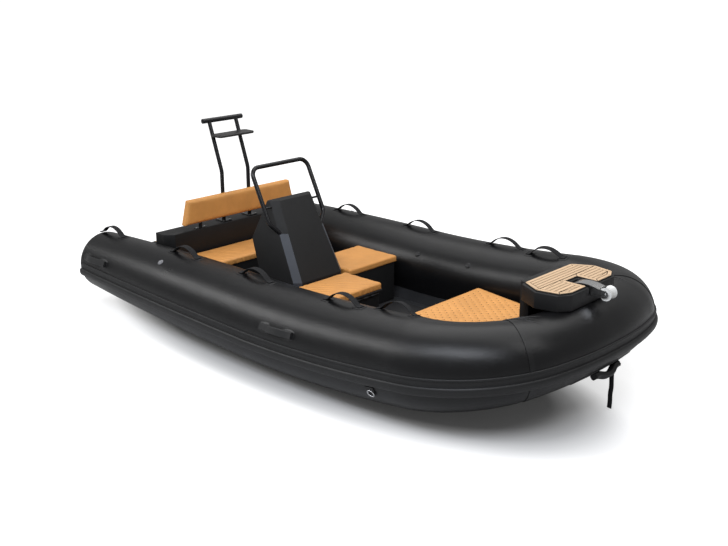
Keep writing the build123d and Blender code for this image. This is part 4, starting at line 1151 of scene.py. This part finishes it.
def swell(piece, cap, floor_z=None):
    rest = vertex_array(piece.data)
    cloth = piece.modifiers.new("swell", "CLOTH")
    cloth.settings.use_pressure = True
    cloth.settings.uniform_pressure_force = CLOTH_PRESSURE
    cloth.settings.effector_weights.gravity = 0
    cloth.point_cache.frame_end = CLOTH_FRAMES
    for step in range(1, CLOTH_FRAMES + 1):
        scene.frame_set(step)
    swollen = evaluated_mesh(piece)
    moved = vertex_array(swollen) - rest
    piece.modifiers.remove(cloth)
    bpy.data.meshes.remove(swollen)
    scene.frame_set(1)
    length = np.linalg.norm(moved, axis=1)
    moved *= np.minimum(1, cap / np.maximum(length, 1e-9))[:, None]
    points = rest + moved
    if floor_z is not None:
        points[:, 2] = np.maximum(points[:, 2], floor_z)
    piece.data.vertices.foreach_set("co", points.ravel())
    piece.data.update()
    print(piece.name, "swelled by up to", round(float(length.max()) * 1000, 1), "mm before the cap")


def smoothed(piece):
    piece.data = modified_mesh(piece, "SUBSURF", levels=1, render_levels=1)
    piece.data.shade_smooth()


# Columns are node, voxel, finish, slot and body
CUSHIONS = (
    ("front_seat_cushion", 0.005, COVER, "cushion_cover", "front_seat_lid"),
    ("side_seat_cushion", 0.005, SMOOTH_COVER, "cushion_cover", "boat"),
    ("rear_bench_cushion", 0.006, COVER, "cushion_cover", "boat"),
    ("bow_locker_cushion", 0.0078, QUILT, "quilted_cover", "bow_locker_lid"),
)
CUSHION_CAP = 0.006
for node, voxel, finish, slot, body in CUSHIONS:
    cushion = even_copy(node, voxel)
    swell(cushion, CUSHION_CAP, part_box(node)[0][2])
    smoothed(cushion)
    dress(cushion, finish, body, replaces=[node])

# %% [markdown]
# ## Quilting of the bow pad
# Small stitches in a diamond pattern pin the bow pad down. The cushion's own points sink in a dimple round
# each one, and a node tree sets a dark stitch in every dimple.

# %% Dimples and stitches in a diamond pattern
QUILT_PITCH = (0.064, 0.052)
QUILT_MARGIN = 0.060
QUILT_ROWS = 40
QUILT_COLUMNS = 24
DIMPLE_DEPTH = 0.0040
DIMPLE_RADIUS = 0.012
PAD_AFT_HALF = 0.494
PAD_FORE_HALF = 0.400
PAD_LENGTH = 0.635
PAD_TAPER = (PAD_AFT_HALF - PAD_FORE_HALF) / PAD_LENGTH
PAD_TOP_DEPTH = 0.015
bow_pad = bpy.data.objects["bow_locker_cushion_cover"]
pad_points = vertex_array(bow_pad.data)
pad_low, pad_high = (np.array(corner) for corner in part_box("bow_locker_cushion"))


def inside_pad(x, y):
    half = PAD_AFT_HALF - PAD_TAPER * max(0.0, x - pad_low[0])
    return pad_low[0] + QUILT_MARGIN < x < pad_high[0] - QUILT_MARGIN and abs(y) < half - QUILT_MARGIN


stitch_places = []
for row in range(QUILT_ROWS):
    for column in range(-QUILT_COLUMNS, QUILT_COLUMNS + 1):
        x = pad_low[0] + row * QUILT_PITCH[0] / 2
        y = (column + 0.5 * (row % 2)) * QUILT_PITCH[1]
        if inside_pad(x, y):
            stitch_places.append((x, y))
stitch_places = np.array(stitch_places)
top_points = np.flatnonzero(pad_points[:, 2] > pad_high[2] - PAD_TOP_DEPTH)
stitch_heights = []
for place in stitch_places:
    away = np.linalg.norm(pad_points[top_points, :2] - place, axis=1)
    stitch_heights.append(pad_points[top_points[away.argmin()], 2] - DIMPLE_DEPTH)
    pad_points[top_points, 2] -= DIMPLE_DEPTH * np.exp(-((away / DIMPLE_RADIUS) ** 2))
bow_pad.data.vertices.foreach_set("co", pad_points.ravel())
bow_pad.data.update()
stitches = grown_piece(
    "bow_pad_stitches",
    points_mesh("bow_pad_stitches", np.column_stack([stitch_places, stitch_heights])),
    bolt_tree,
    THREAD,
    Radius=0.0042,
    Height=0.002,
)
dress(stitches, THREAD, "bow_locker_lid")
print("stitches", len(stitch_places))

# %% Backrest pad
BACKREST_VOXEL = 0.006
BACKREST_CAP = 0.004
backrest = even_copy("backrest", BACKREST_VOXEL)
swell(backrest, BACKREST_CAP)
smoothed(backrest)
dress(backrest, SMOOTH_COVER, replaces=["backrest"])

# %% [markdown]
# ## Foam decking
# A foam sheet is cut to look like planks: a border that follows the edge, mitred at each corner, and
# planks across the boat inside it, with dark caulk lines between. All are worked out from the outline.

# %% Border and planks from an outline
PLANK_GAP = 0.0050
PLANK_WIDTH = 0.026
PLANK_BEVEL = 0.0008
LEAST_PLANK_AREA = 0.0001
BORDER_WIDTH = 0.024
MITRE_LIMIT = 0.2
# Height of the planks' feet over the sheet's foot, and depth of the caulk under the planks' tops
PLANK_FOOT = 0.004
CAULK_DEPTH = 0.003
TINT_STEP = 0.618
DECKING_SHARP = 30
# A distance past the ends of the boat
FAR = 9.0


def inset_outline(outline, distance):
    outline = [Vector(p).to_2d() for p in outline]
    count = len(outline)
    result = []
    for i, point in enumerate(outline):
        before = (point - outline[i - 1]).normalized()
        after = (outline[(i + 1) % count] - point).normalized()
        n1 = Vector((-before.y, before.x))
        n2 = Vector((-after.y, after.x))
        result.append(point + (n1 + n2) * (distance / max(MITRE_LIMIT, 1 + n1.dot(n2))))
    return result


def clip_band(outline, axis, low, high):
    for side, limit in ((1, low), (-1, -high)):
        kept = []
        for i, point in enumerate(outline):
            last = outline[i - 1]
            d0, d1 = side * last[axis] - limit, side * point[axis] - limit
            if (d0 >= 0) != (d1 >= 0):
                kept.append(last + (point - last) * (d0 / (d0 - d1)))
            if d1 >= 0:
                kept.append(point)
        outline = kept
        if not outline:
            break
    return outline


def area_of(outline):
    return sum(a.x * b.y - b.x * a.y for a, b in zip(outline, outline[1:] + outline[:1])) / 2


def plank_prism(outline, low, high):
    shrunk = inset_outline(outline, PLANK_GAP / 2)
    if area_of(shrunk) < LEAST_PLANK_AREA:
        return None
    top = inset_outline(shrunk, PLANK_BEVEL)
    rows = [(shrunk, low), (shrunk, high - PLANK_BEVEL), (top, high)]
    return ring_skin([[(p.x, p.y, z) for p in row] for row, z in rows])


# The inside of a sheet in whole regions: one, or the part aft of a slot and the two beside it
def plank_regions(inner, slot):
    if slot is None:
        return [inner]
    cut, edge = slot[0] - BORDER_WIDTH, slot[1] + BORDER_WIDTH
    aft = clip_band(inner, 0, -FAR, cut)
    beside = clip_band(inner, 0, cut, FAR)
    return [aft, clip_band(beside, 1, -FAR, -edge), clip_band(beside, 1, edge, FAR)]


def decking_sheet(outline, low, high, slot):
    outer = [Vector(p).to_2d() for p in outline]
    inner = inset_outline(outer, BORDER_WIDTH)
    planks = []
    for i in range(len(outer)):
        j = (i + 1) % len(outer)
        planks.append([outer[i], outer[j], inner[j], inner[i]])
    for region in plank_regions(inner, slot):
        low_x = min(p.x for p in region)
        high_x = max(p.x for p in region)
        count = max(1, round((high_x - low_x) / PLANK_WIDTH))
        step = (high_x - low_x) / count
        planks += [clip_band(region, 0, low_x + k * step, low_x + (k + 1) * step) for k in range(count)]
    return [shape for shape in (plank_prism(p, low, high) for p in planks if len(p) > 2) if shape]


def decking_piece(name, node, outlines, low, high, slot=None):
    shapes = [shape for outline in outlines for shape in decking_sheet(outline, low + PLANK_FOOT, high, slot)]
    mesh = mesh_from(name, *joined(shapes), DECKING_SHARP)
    tint = mesh.attributes.new("plank_tint", "FLOAT", "POINT")
    tints = np.concatenate([np.full(len(p), (i * TINT_STEP) % 1.0) for i, (p, _) in enumerate(shapes)])
    tint.data.foreach_set("value", tints.astype(np.float32))
    dress(new_piece(name, mesh), DECKING, replaces=[node])
    base = []
    for outline in outlines:
        base.append(ring_skin([[(x, y, z) for x, y in outline] for z in (low, high - CAULK_DEPTH)]))
    made(name + "_caulk", base, CAULK)


# %% Step decking round the roller's slot, and the stern plates
STEP_MARGIN = 0.012
STEP_OUTLINE = ((1.360 + STEP_MARGIN, 0.235), (1.485, 0.300), (1.610, 0.275), (1.655 - STEP_MARGIN, 0.210))
SLOT_HALF = 0.046 + STEP_MARGIN
SLOT_AFT_X = 1.528 - STEP_MARGIN
port_half = [(x, y - STEP_MARGIN) for x, y in STEP_OUTLINE]
front_x = STEP_OUTLINE[-1][0]
step_outline = [(x, -y) for x, y in port_half]
step_outline += [(front_x, -SLOT_HALF), (SLOT_AFT_X, -SLOT_HALF)]
step_outline += [(SLOT_AFT_X, SLOT_HALF), (front_x, SLOT_HALF)]
step_outline += port_half[::-1]
STEP_Z_SPAN = (0.703, 0.713)
decking_piece("bow_step_planks", "bow_step_decking", [step_outline], *STEP_Z_SPAN, (SLOT_AFT_X, SLOT_HALF))

STERN_X_SPAN = (-1.460 + STEP_MARGIN, -1.345 - STEP_MARGIN)
STERN_Y_SPAN = (0.245 + STEP_MARGIN, 0.600 - STEP_MARGIN)
STERN_Z_SPAN = (0.454, 0.460)
aft_x, fore_x = STERN_X_SPAN
stern_outlines = []
for side in (-1, 1):
    low_y, high_y = sorted(side * y for y in STERN_Y_SPAN)
    stern_outlines.append([(aft_x, low_y), (fore_x, low_y), (fore_x, high_y), (aft_x, high_y)])
decking_piece("stern_planks", "stern_decking", stern_outlines, *STERN_Z_SPAN)
